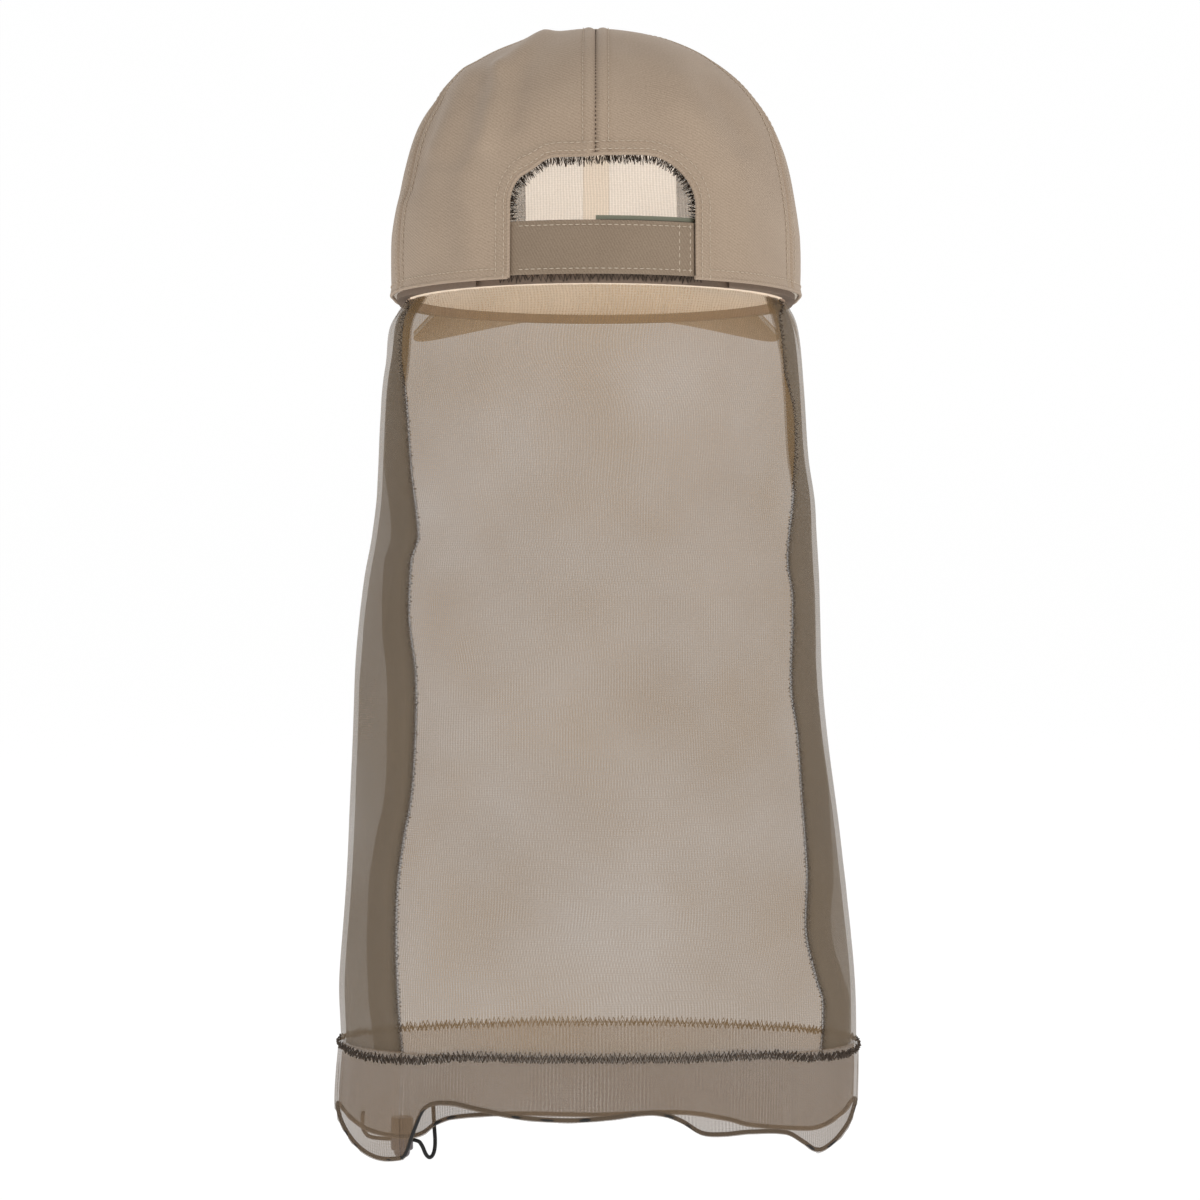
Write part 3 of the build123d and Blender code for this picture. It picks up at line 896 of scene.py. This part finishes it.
# ---------------------------------------------------------------- strap and the net behind the arch
@dataclass
class RearOpening:
    """The adjusting strap across the arch, and the net and its overlocked edge behind it."""

    looks: dict[Name, bpy.types.Material]
    sewing: Sewing
    crown: Crown
    strap_low: float = 1.5 * MM
    strap_high: float = 24.0 * MM
    strap_end: float = -41.0 * MM
    sewn_end: float = 48.0 * MM
    hinge: float = 33.8 * MM
    outer: float = 1.75 * MM
    thick: float = 1.1 * MM
    droop: float = 0.0024
    net_depth: float = 6.6 * MM
    net_height: float = 53 * MM

    def place(self, x: float, z: float, depth: float) -> Vector:
        """A point behind the smooth crown, at a depth below its surface."""
        return self.crown.form.behind(x, z, -depth)

    def strap_wave(self, x: float, z: float) -> float:
        """Small unevenness of the strap's face, with the dents of its stitching."""
        wave = 0.35 * MM * noise.noise(Vector((x * 40, z * 30, 3.0)))
        for edge in (self.strap_low, self.strap_high):
            wave += 0.22 * MM * math.exp(-((abs(z - edge) - 2.2 * MM) / (0.7 * MM)) ** 2)
        return wave

    def strap(self) -> None:
        """One folded strip with round edges, bending at the arch's left edge."""
        section = []
        half = self.thick / 2
        low, high = self.strap_low + half, self.strap_high - half
        for i in range(22):
            section.append((low + (high - low) * i / 21, 0.0, 1))
        for i in range(1, 5):
            angle = math.pi * i / 5
            section.append((high + half * math.sin(angle), half - half * math.cos(angle), 0))
        for i in range(22):
            section.append((high - (high - low) * i / 21, self.thick, 0))
        for i in range(1, 5):
            angle = math.pi * i / 5
            section.append((low - half * math.sin(angle), half + half * math.cos(angle), 0))
        columns, rows = 120, len(section)
        points, cloth = [], []
        for i in range(columns):
            x = self.sewn_end + (self.strap_end - self.sewn_end) * i / (columns - 1)
            pinch = 0.35 * MM * math.exp(-((x - self.strap_end) / (0.8 * MM)) ** 2)
            for z, depth, face in section:
                wave = self.strap_wave(x, z) if face else 0.0
                inward = pinch if depth < half else -pinch
                droop = self.droop * max(self.hinge - x, 0.0)
                points.append(self.place(x, z - droop, self.outer + depth + wave + inward))
                cloth.append((x, z if depth < half else z + 0.05))
        faces = [(i * rows + j, i * rows + (j + 1) % rows, (i + 1) * rows + (j + 1) % rows,
                  (i + 1) * rows + j) for i in range(columns - 1) for j in range(rows)]
        faces.append(tuple(range(rows - 1, -1, -1)))
        faces.append(tuple((columns - 1) * rows + j for j in range(rows)))
        piece = build("strap", np.array(points), faces, self.looks[Name.STRAP], np.array(cloth))
        face_outward(piece)
        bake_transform(piece)
        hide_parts("adjust_strap", "strap_sewn_end")
        rows_of_thread = []
        start = self.hinge - 3 * MM
        for z in (self.strap_low + 2.2 * MM, self.strap_high - 2.2 * MM):
            line = [self.place(start + (self.strap_end + 2 * MM - start) * i / 50, z, self.outer - 0.05 * MM)
                    for i in range(51)]
            rows_of_thread.append(line)
        for x in (self.strap_end + 2.0 * MM, self.strap_end + 6.5 * MM):
            rows_of_thread.append([self.place(x, self.strap_low + 2.2 * MM + 18.1 * MM * i / 20,
                                              self.outer - 0.05 * MM) for i in range(21)])
        self.sewing.row("strap_topstitching", "stitch_row", rows_of_thread, Name.THREAD, "strap", "twill")
        ravel = [self.place(self.strap_end - 1.2 * MM, self.strap_low + 21 * MM * i / 20,
                            self.outer + 1.4 * MM) for i in range(21)]
        self.sewing.row("strap_end_nap", "overlocked_edge", [ravel], Name.LOOP, "cap", "loop_pile",
                        Width=2.2 * MM, Spacing=0.5 * MM, Radius=0.16 * MM, Scatter=0.5 * MM)

    def net(self) -> None:
        """The net behind the arch, folded on itself at both sides, and its overlocked edge."""
        stops = [-47, -43, -38, -33.5, -33.2, -37.5, -40.5, -40.2, -36, -31, -15, 0, 10, 20, 27, 32.5,
                 36.5, 36.8, 32.2, 28.5, 28.8, 33, 38, 42]
        levels = [0, 0, 0, 0, .5, .9, 1.0, 1.4, 1.5, 1.5, 1.5, 1.5, 1.5, 1.5, 1.5, 1.5, 1.4, 1.0, .9, .6,
                  .2, 0, 0, 0]
        knots = np.linspace(0, 1, len(stops))
        columns, rows = 120, 44
        turns = np.linspace(0, 1, columns)
        xs, depths = np.interp(turns, knots, stops), np.interp(turns, knots, levels)
        run = np.concatenate([[0.0], np.cumsum(np.abs(np.diff(xs)))]) * MM
        points, cloth = [], []
        for i in range(columns - 1, -1, -1):
            for j in range(rows):
                z = 2 * MM + self.net_height * j / (rows - 1)
                x = xs[i] * MM + 1.2 * MM * noise.noise(Vector((run[i] * 30, z * 30, 1.0)))
                wave = 0.8 * MM * noise.noise(Vector((run[i] * 45, z * 18, 5.0)))
                points.append(self.place(x, z, self.net_depth - depths[i] * 0.5 * MM + wave))
                cloth.append((run[i], z))
        piece = build("arch_net", np.array(points), grid_faces(columns, rows), self.looks[Name.ARCH_NET],
                      np.array(cloth))
        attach(piece, "cap")
        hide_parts("arch_net_insert")
        lines = [[self.place(x, max(z, 0.5 * MM), 4.0 * MM) for x, z in
                  self.crown.arch.line(margin, 25 * MM, 30)] for margin in (0.4 * MM, -0.5 * MM, -1.4 * MM)]
        edge = self.sewing.row("arch_overlock", "overlocked_edge", lines, Name.OVERLOCK, "cap", "overlock",
                               Width=3.4 * MM, Spacing=0.42 * MM, Radius=0.24 * MM, Scatter=0.6 * MM)
        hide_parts("arch_net_seam")
        low = [self.place(40 * MM - 84 * MM * i / 60, 0.6 * MM, 5.0 * MM) for i in range(61)]
        self.sewing.row("rear_rim_overlock", "overlocked_edge", [low], Name.OVERLOCK, "cap", "overlock",
                        Width=3.2 * MM, Spacing=0.9 * MM, Radius=0.3 * MM, Scatter=0.6 * MM)

    def make(self) -> None:
        """Build the strap and the net."""
        self.strap()
        self.net()


# ---------------------------------------------------------------- veil
@dataclass
class VeilForm:
    """The net tube's outline, its side seams and its bottom edge."""

    left: Outline = Outline(((-376, 112.5), (-352, 113.5), (-326, 112), (-299, 112.5),
                             (-264, 110), (-229, 108), (-194, 106.5), (-158, 105.2), (-123, 101.5),
                             (-106, 98.5), (-88, 96), (-70, 95), (-44, 93.7), (-26, 91.5), (-12, 89.5),
                             (-2, 83.5)))
    right: Outline = Outline(((-376, 113), (-352, 114), (-326, 114.5), (-299, 114),
                              (-264, 110.5), (-229, 106.5), (-194, 102), (-158, 99), (-123, 97.5),
                              (-106, 96.5), (-88, 95.5), (-70, 93), (-44, 91.5), (-26, 90), (-12, 87.5),
                              (-2, 83.2)))
    deep: Outline = Outline(((-376, 50), (-360, 54), (-326, 56), (-230, 61), (-130, 72), (-60, 81),
                             (-25, 87), (-2, 92)))
    seam_left: Outline = Outline(((-374, 80), (-330, 82), (-305, 84), (-260, 84.6), (-237, 82), (-217, 78),
                                  (-190, 76), (-164, 75.7), (-141, 78.7), (-115, 78), (-105, 75), (-75, 78.7),
                                  (-45, 81), (-28, 83.5), (-2, 80)))
    seam_right: Outline = Outline(((-374, 92), (-330, 96), (-305, 97), (-296, 94.4), (-275, 89.3), (-250, 90),
                                   (-217, 88.5), (-190, 86.3), (-170, 83), (-131, 83.4), (-115, 81),
                                   (-90, 83), (-54, 84.5), (-32, 79.5), (-2, 79)))

    back_edge: Outline = Outline(((-116, -350), (-108, -368), (-96, -370), (-90, -366), (-82, -361),
                                  (-66, -359.5), (-54, -360), (-45, -359), (-37, -354), (-30, -351),
                                  (-22, -350), (-5, -352), (11, -353), (32, -352), (50, -349),
                                  (63, -347), (73, -350), (78, -361), (83, -372), (99, -372),
                                  (116, -350)))
    front_edge: Outline = Outline(((-116, -350), (-114, -353), (-110, -361), (-101, -369), (-90, -371),
                                   (-70, -371), (-60, -369), (-40, -367), (0, -368.5), (40, -367.5),
                                   (66, -368), (76, -370), (84, -372.5), (92, -373.6), (99, -372),
                                   (105, -368), (110.5, -361), (114, -353), (116, -350)))

    def ring(self, z: float, turn: float, inset: float = 0.0) -> Vector:
        """A point on the tube.

        Args:
            z: height.
            turn: radians round the tube, from +X towards +Y.
            inset: how far inside the outer cloth.

        Returns:
            The point, with the cloth's soft folds.
        """
        c, s = math.cos(turn), math.sin(turn)
        reach = (self.left if c > 0 else self.right).at(z)
        calm = min(1.0, (-z) / (30 * MM), (z + 345 * MM) / (40 * MM) if z > -340 * MM else 0.15)
        spot = Vector((c * 2.2, s * 2.2, z * 7))
        swell = 2.6 * MM * noise.noise(spot) + 1.1 * MM * noise.noise(spot * 3.1)
        gathers = max(0.0, 1 + z / (34 * MM)) * 1.3 * MM * math.sin(turn * 46 + 3 * noise.noise(spot * 4))
        gathers *= min(1.0, -z / (8 * MM))
        off = swell * max(calm, 0.1) * (1 - 0.55 * abs(c)) + gathers - inset
        return Vector(((reach + off) * c, (self.deep.at(z) + off) * s, z))

    def seam_turn(self, z: float, side: int) -> float:
        """Where round the tube a side seam runs: left is side 1, right is side -1."""
        reach = (self.left if side > 0 else self.right).at(z)
        seam = (self.seam_left if side > 0 else self.seam_right).at(z)
        turn = math.acos(min(seam / reach, 0.97))
        return turn if side > 0 else math.pi - turn

    def bottom(self, x: float, behind: bool) -> float:
        """The height of the hem's bottom edge at a place across."""
        return (self.back_edge if behind else self.front_edge).at(x)


@dataclass
class Veil:
    """The net tube, its pleated sides, the seams between its panels, and its hem."""

    looks: dict[Name, bpy.types.Material]
    sewing: Sewing
    form: VeilForm = field(default_factory=VeilForm)
    top: float = -2.5 * MM
    low: float = -326 * MM
    length: float = 324 * MM
    pleat_width: float = 13 * MM
    back_casing: float = 63 * MM
    front_casing: float = 91 * MM
    cord_radius: float = 0.9 * MM

    def fold_up(self, piece: bpy.types.Object, node: str) -> None:
        """Attach a piece to the cap, with a mesh of its own, in place of a node."""
        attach(piece, "cap")
        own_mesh(piece)
        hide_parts(node)

    def heights(self, rows: int) -> list[float]:
        """Heights from the hem's top up to the rim, closer together near the rim."""
        return [self.low + (self.top - self.low) * (1 - (1 - j / (rows - 1)) ** 1.15) for j in range(rows)]

    def back(self) -> None:
        """The back panel, one smooth sheet between the side seams."""
        columns, levels = 84, self.heights(150)
        points, cloth = [], []
        for i in range(columns):
            t = i / (columns - 1)
            for z in levels:
                left, right = self.form.seam_turn(z, 1), self.form.seam_turn(z, -1)
                turn = left + (right - left) * t
                points.append(self.form.ring(z, turn))
                cloth.append((0.19 * t, z))
        piece = build("veil_back", np.array(points), grid_faces(columns, len(levels)), self.looks[Name.NET],
                      np.array(cloth))
        self.fold_up(piece, "veil_back_panel")

    def pleat(self, z: float, side: int) -> list[tuple[float, float]]:
        """One side's folded cloth at a height, from the seam outwards: the turn and the inset."""
        form = self.form
        reach = (form.left if side > 0 else form.right).at(z)
        seam = min((form.seam_left if side > 0 else form.seam_right).at(z), reach - 12 * MM)
        drift = noise.noise(Vector((side * 3.0, 0.0, z * 16)))
        near = min(seam + self.pleat_width + 1.5 * MM * drift, reach - 3.5 * MM)
        far = reach - 1.6 * MM - 5.0 * MM * max(0.0, noise.noise(Vector((side * 5.0, 1.0, z * 22))))
        far = max(far, near)
        stops = [(seam + (far - seam) * i / 7, 2.6) for i in range(8)] + [(far + 0.5 * MM, 2.3)]
        stops += [(far + (seam + 1.2 * MM - far) * i / 7, 2.0) for i in range(8)] + [(seam + 0.8 * MM, 1.7)]
        stops += [(seam + 1.2 * MM + (near - seam - 1.2 * MM) * i / 4, 1.4) for i in range(5)]
        stops += [(near + 0.5 * MM, 1.1)]
        stops += [(near + (seam + 1.6 * MM - near) * i / 4, 0.8) for i in range(5)]
        stops += [(seam + 1.1 * MM, 0.4)]
        turns = []
        for x, inset in stops:
            turn = math.acos(min(x / (reach - inset * MM), 0.995))
            turns.append((turn if side > 0 else math.pi - turn, inset * MM))
        return turns

    def front(self) -> None:
        """The front panel: it is pleated outside each side seam and goes round the front."""
        levels = self.heights(150)
        table = []
        for z in levels:
            left, right = self.pleat(z, 1), self.pleat(z, -1)
            start, end = left[-1][0], right[-1][0] - 2 * math.pi
            around = [(start + (end - start) * i / 71, 0.0) for i in range(1, 71)]
            row = left + around + [(turn - 2 * math.pi, inset) for turn, inset in reversed(right)]
            table.append([self.form.ring(z, turn, inset) for turn, inset in row])
        columns = len(table[0])
        middle = table[len(levels) // 2]
        run = [0.0]
        for a, b in zip(middle, middle[1:]):
            run.append(run[-1] + (b - a).length)
        points = [table[j][i] for i in range(columns - 1, -1, -1) for j in range(len(levels))]
        cloth = [(run[i], z) for i in range(columns - 1, -1, -1) for z in levels]
        # Its finish is the back panel's net with a greyer, darker colour: painted shade for the layers inside
        # the pleats.
        piece = build("veil_front", np.array(points), grid_faces(columns, len(levels)),
                      self.looks[Name.FRONT_NET], np.array(cloth))
        self.fold_up(piece, "veil_front_panel")

    def side_seams(self) -> None:
        """Overlocked edges down both sides of the back panel."""
        for side, label in ((1, "left"), (-1, "right")):
            line = [self.form.ring(z, self.form.seam_turn(z, side), -0.5 * MM) for z in self.heights(160)]
            piece = self.sewing.row(f"side_overlock_{label}", "overlocked_edge", [line], Name.OVERLOCK, None,
                                    "overlock", Width=1.7 * MM, Spacing=0.9 * MM, Radius=0.24 * MM,
                                    Scatter=0.5 * MM)
            self.fold_up(piece, f"veil_side_seam_{label}")

    def casing(self, name: str, turns: list[float], node: str, behind: bool) -> None:
        """A stretch of the hem: the net folded up inside itself, as a U in section."""
        points, cloth = [], []
        rows = 40
        for turn in turns:
            for j in range(rows):
                t = j / (rows - 1)
                x = self.form.ring(-345 * MM, turn).x
                end = self.form.bottom(x, behind)
                if t < 0.46:
                    z, inset = self.low + 1 * MM + (end + 1 * MM - self.low - 1 * MM) * t / 0.46, -1.1 * MM
                elif t > 0.54:
                    z, inset = end + 1 * MM + (self.low - end - 1 * MM) * (t - 0.54) / 0.46, 0.9 * MM
                else:
                    angle = math.pi * (t - 0.46) / 0.08
                    z, inset = end + 1 * MM - math.sin(angle) * MM, -0.1 * MM - 1.0 * MM * math.cos(angle)
                pucker = 0.9 * MM * noise.noise(Vector((turn * 16, z * 16 + turn * 3, 4.0)))
                pucker *= min(1.0, (self.low - z) / (12 * MM) + 0.1)
                pucker += self.lock_hollow(turn, z)
                points.append(self.form.ring(z, turn, inset - pucker))
                cloth.append((turn * 85 * MM, t * 0.08))
        piece = build(name, np.array(points), grid_faces(len(turns), rows), self.looks[Name.HEM_NET],
                      np.array(cloth))
        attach(piece, "hem")
        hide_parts(node)

    def lock_hollow(self, turn: float, z: float) -> float:
        """How far the front casing is pushed in by the cord lock that hangs against it."""
        place = math.atan2(-34.0 / 54.0, 87.5 / 113.0)
        off = (turn - place + math.pi) % (2 * math.pi) - math.pi
        deep = min(1.0, max(0.0, (-352 * MM - z) / (9 * MM)))
        return -9.0 * MM * math.exp(-(off / 0.17) ** 2) * deep * deep * (3 - 2 * deep)

    def hem(self) -> None:
        """Both casings, their overlocked edges and the drawcord in the bottom fold."""
        left, right = self.form.seam_turn(self.low, 1), self.form.seam_turn(self.low, -1)
        back = [left + (right - left) * i / 110 for i in range(111)]
        front = [right + (left + 2 * math.pi - right) * i / 170 for i in range(171)]
        rows = []
        for turns, behind in ((back, True), (front, False)):
            line = []
            for i, turn in enumerate(turns):
                ends = min(i, len(turns) - 1 - i) / len(turns)
                dip = 6 * MM * math.exp(-((ends - 0.03) / 0.09) ** 2) * (0.5 if behind else 0.6)
                line.append(self.form.ring(self.low + 1.5 * MM - dip, turn, -1.4 * MM))
            rows.append(line)
        for label, line in (("back", rows[0]), ("front", rows[1])):
            lower = [spot - Vector((0, 0, 1.3 * MM)) for spot in line]
            piece = self.sewing.row(f"hem_overlock_{label}", "overlocked_edge", [line, lower, lower],
                                    Name.OVERLOCK, "hem", "overlock", Width=3.0 * MM, Spacing=1.05 * MM,
                                    Radius=0.34 * MM, Scatter=0.45 * MM)
            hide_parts(f"hem_seam_{label}")
        self.casing("hem_back", back, "hem_casing_back", True)
        self.casing("hem_front", front, "hem_casing_front", False)
        cord = []
        for turns, behind in ((back, True), (front[1:-1], False)):
            for turn in turns:
                x = self.form.ring(-345 * MM, turn).x
                end = self.form.bottom(x, behind)
                inset = -0.1 * MM - self.lock_hollow(turn, end + 1.3 * MM)
                cord.append(self.form.ring(end + 1.3 * MM, turn, inset))
        curve = poly_curve("drawcord_in_hem", [cord], closed=True)
        thicken(curve.data, self.cord_radius, 2, self.looks[Name.CORD])
        piece = bake(curve)
        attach(piece, "hem")
        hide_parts("drawcord_ring")

    def make(self) -> None:
        """Build the whole veil."""
        self.back()
        self.front()
        self.side_seams()
        self.hem()


# ---------------------------------------------------------------- free cord
@dataclass(frozen=True)
class FreeCord:
    """The drawcord outside the hem: through the lock, down in a narrow loop and back up."""

    route: tuple = ((104.0, -19.7, -360.4), (104.6, -22.0, -365.5), (104.5, -28.0, -370.5),
                    (101.5, -34.0, -375.0), (80.5, -34.0, -375.0), (78.2, -34.6, -378.6),
                    (76.9, -35.2, -382.4), (75.1, -36.0, -384.2), (73.3, -36.8, -382.4),
                    (72.6, -38.0, -377.6), (73.4, -39.4, -369.0), (73.8, -39.8, -360.1))
    diameter: float = 1.8 * MM

    def make(self, finish: bpy.types.Material) -> None:
        data = bpy.data.curves.new("free_cord", "CURVE")
        data.dimensions = "3D"
        spline = data.splines.new("NURBS")
        spline.points.add(len(self.route) - 1)
        for point, place in zip(spline.points, self.route):
            point.co = (*(c * MM for c in place), 1.0)
        spline.order_u = 3
        spline.use_endpoint_u = True
        spline.resolution_u = 12
        thicken(data, self.diameter / 2, 3, finish)
        data.use_fill_caps = True
        piece = bpy.data.objects.new("free_cord", data)
        bpy.context.scene.collection.objects.link(piece)
        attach(piece, "hem")
        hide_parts("drawcord_loop")


# ---------------------------------------------------------------- studio and the whole
def dress_nodes(looks: dict[Name, bpy.types.Material]) -> None:
    """Give the solids that stay visible their finish."""
    solid_twill = Cloth("cotton_twill_cut", "#c5af98", "#a6907b", on_cloth=False).material()
    plan = {Name.ACETAL: ["lock_barrel", "lock_plunger"], Name.STEEL: ["lock_spring", "button_backing"],
            Name.BOARD: ["visor_board"], Name.BUCKRAM: ["front_buckram"], Name.LOOP: ["loop_tape"],
            Name.HOOK: ["hook_tape"], Name.TAPE: ["loop_tab"], Name.BAND: ["sweatband", "crown_seam_tapes"],
            Name.RIM_SEAM: ["veil_rim_seam"]}
    dressed = {node: looks[look] for look, nodes in plan.items() for node in nodes}
    for node in ("top_button", "visor_top_cover", "visor_under_cover", "opening_facing"):
        dressed[node] = solid_twill
    for node, look in dressed.items():
        mesh = frame["nodes"][node].data
        mesh.materials.clear()
        mesh.materials.append(look)


@dataclass
class Studio:
    """A pale floor and backdrop, three soft lights, a small one in the crown, and the camera."""

    distance: float = 1.35
    eye: float = -0.132
    side: float = -0.0018
    half_view: float = 0.264

    def camera(self) -> None:
        """Level, straight behind, at the middle of the object's height."""
        data = bpy.data.cameras.new("camera")
        data.sensor_width = 36.0
        data.lens = 18.0 * self.distance / self.half_view
        camera = bpy.data.objects.new("camera", data)
        camera.location = (self.side, self.distance, self.eye)
        camera.rotation_euler = (math.pi / 2, 0, math.pi)
        bpy.context.scene.collection.objects.link(camera)
        bpy.context.scene.camera = camera

    def backdrop(self) -> None:
        """A floor that curves up into a wall, well away from the object."""
        floor, reach, bend = -0.42, 3.0, 0.6
        section = [(reach, floor), (-reach + bend, floor)]
        for i in range(1, 17):
            angle = math.pi / 2 * i / 16
            section.append((-reach + bend - bend * math.sin(angle), floor + bend - bend * math.cos(angle)))
        section.append((-reach, 3.5))
        rows = len(section)
        points = [(x, y, z) for x in (5.0, -5.0) for y, z in section]
        look = bpy.data.materials.new("pale_paper")
        look.use_nodes = True
        shader = look.node_tree.nodes["Principled BSDF"]
        shader.inputs["Base Color"].default_value = colour("#303030")
        shader.inputs["Roughness"].default_value = 1.0
        shader.inputs["Emission Color"].default_value = colour("#ffffff")
        shader.inputs["Emission Strength"].default_value = 0.97
        piece = build("backdrop", np.array(points), grid_faces(2, rows), look)

    def hang(self, name: str, data: bpy.types.Light, place: tuple, power: float) -> bpy.types.Object:
        """Put a light in its place, unseen by the camera."""
        data.energy = power
        lamp = bpy.data.objects.new(name, data)
        lamp.location = place
        lamp.visible_camera = False
        bpy.context.scene.collection.objects.link(lamp)
        return lamp

    def light(self, name: str, place: tuple, aim: tuple, size: float, power: float) -> None:
        """One soft square light."""
        data = bpy.data.lights.new(name, "AREA")
        data.size = size
        lamp = self.hang(name, data, place, power)
        lamp.rotation_euler = (Vector(aim) - Vector(place)).to_track_quat("-Z", "Y").to_euler()

    def make(self) -> None:
        """Light the set."""
        self.backdrop()
        middle = (0, 0, -0.1)
        self.light("key", (-1.1, 1.6, 1.2), middle, 0.6, 15)
        self.light("fill", (1.3, 1.6, 0.1), middle, 1.4, 6)
        self.light("behind", (0.0, -1.6, 1.2), middle, 1.6, 12)
        data = bpy.data.lights.new("inside", "POINT")
        data.shadow_soft_size = 0.03
        self.hang("inside", data, (0, 0.01, 0.055), 0.24)
        world = bpy.data.worlds.new("studio")
        world.use_nodes = True
        world.node_tree.nodes["Background"].inputs["Color"].default_value = colour("#ffffff")
        world.node_tree.nodes["Background"].inputs["Strength"].default_value = 0.3
        bpy.context.scene.world = world
        bpy.context.scene.view_settings.view_transform = "Standard"


def report(step: str, known: set[str]) -> set[str]:
    """Log the pieces that a step has added.

    Args:
        step: the step's name.
        known: the names of the objects that were there before it.

    Returns:
        The names of all objects now.
    """
    names = {piece.name for piece in bpy.data.objects}
    for name in sorted(names - known):
        LOG.info("%s: %s", step, name)
    return names


def main() -> None:
    """Build everything in order."""
    logging.basicConfig(level=logging.INFO)
    studio = Studio()
    studio.camera()
    looks = finishes()
    sewing = Sewing(looks)
    dress_nodes(looks)
    crown = Crown(looks, sewing)
    known = report("camera and model", set())
    FreeCord().make(looks[Name.CORD])
    known = report("free cord", known)
    crown.make()
    known = report("crown", known)
    RearOpening(looks, sewing, crown).make()
    known = report("rear opening", known)
    Veil(looks, sewing).make()
    known = report("veil and hem", known)
    studio.make()
    report("studio", known)


if __name__ == "__main__":
    main()
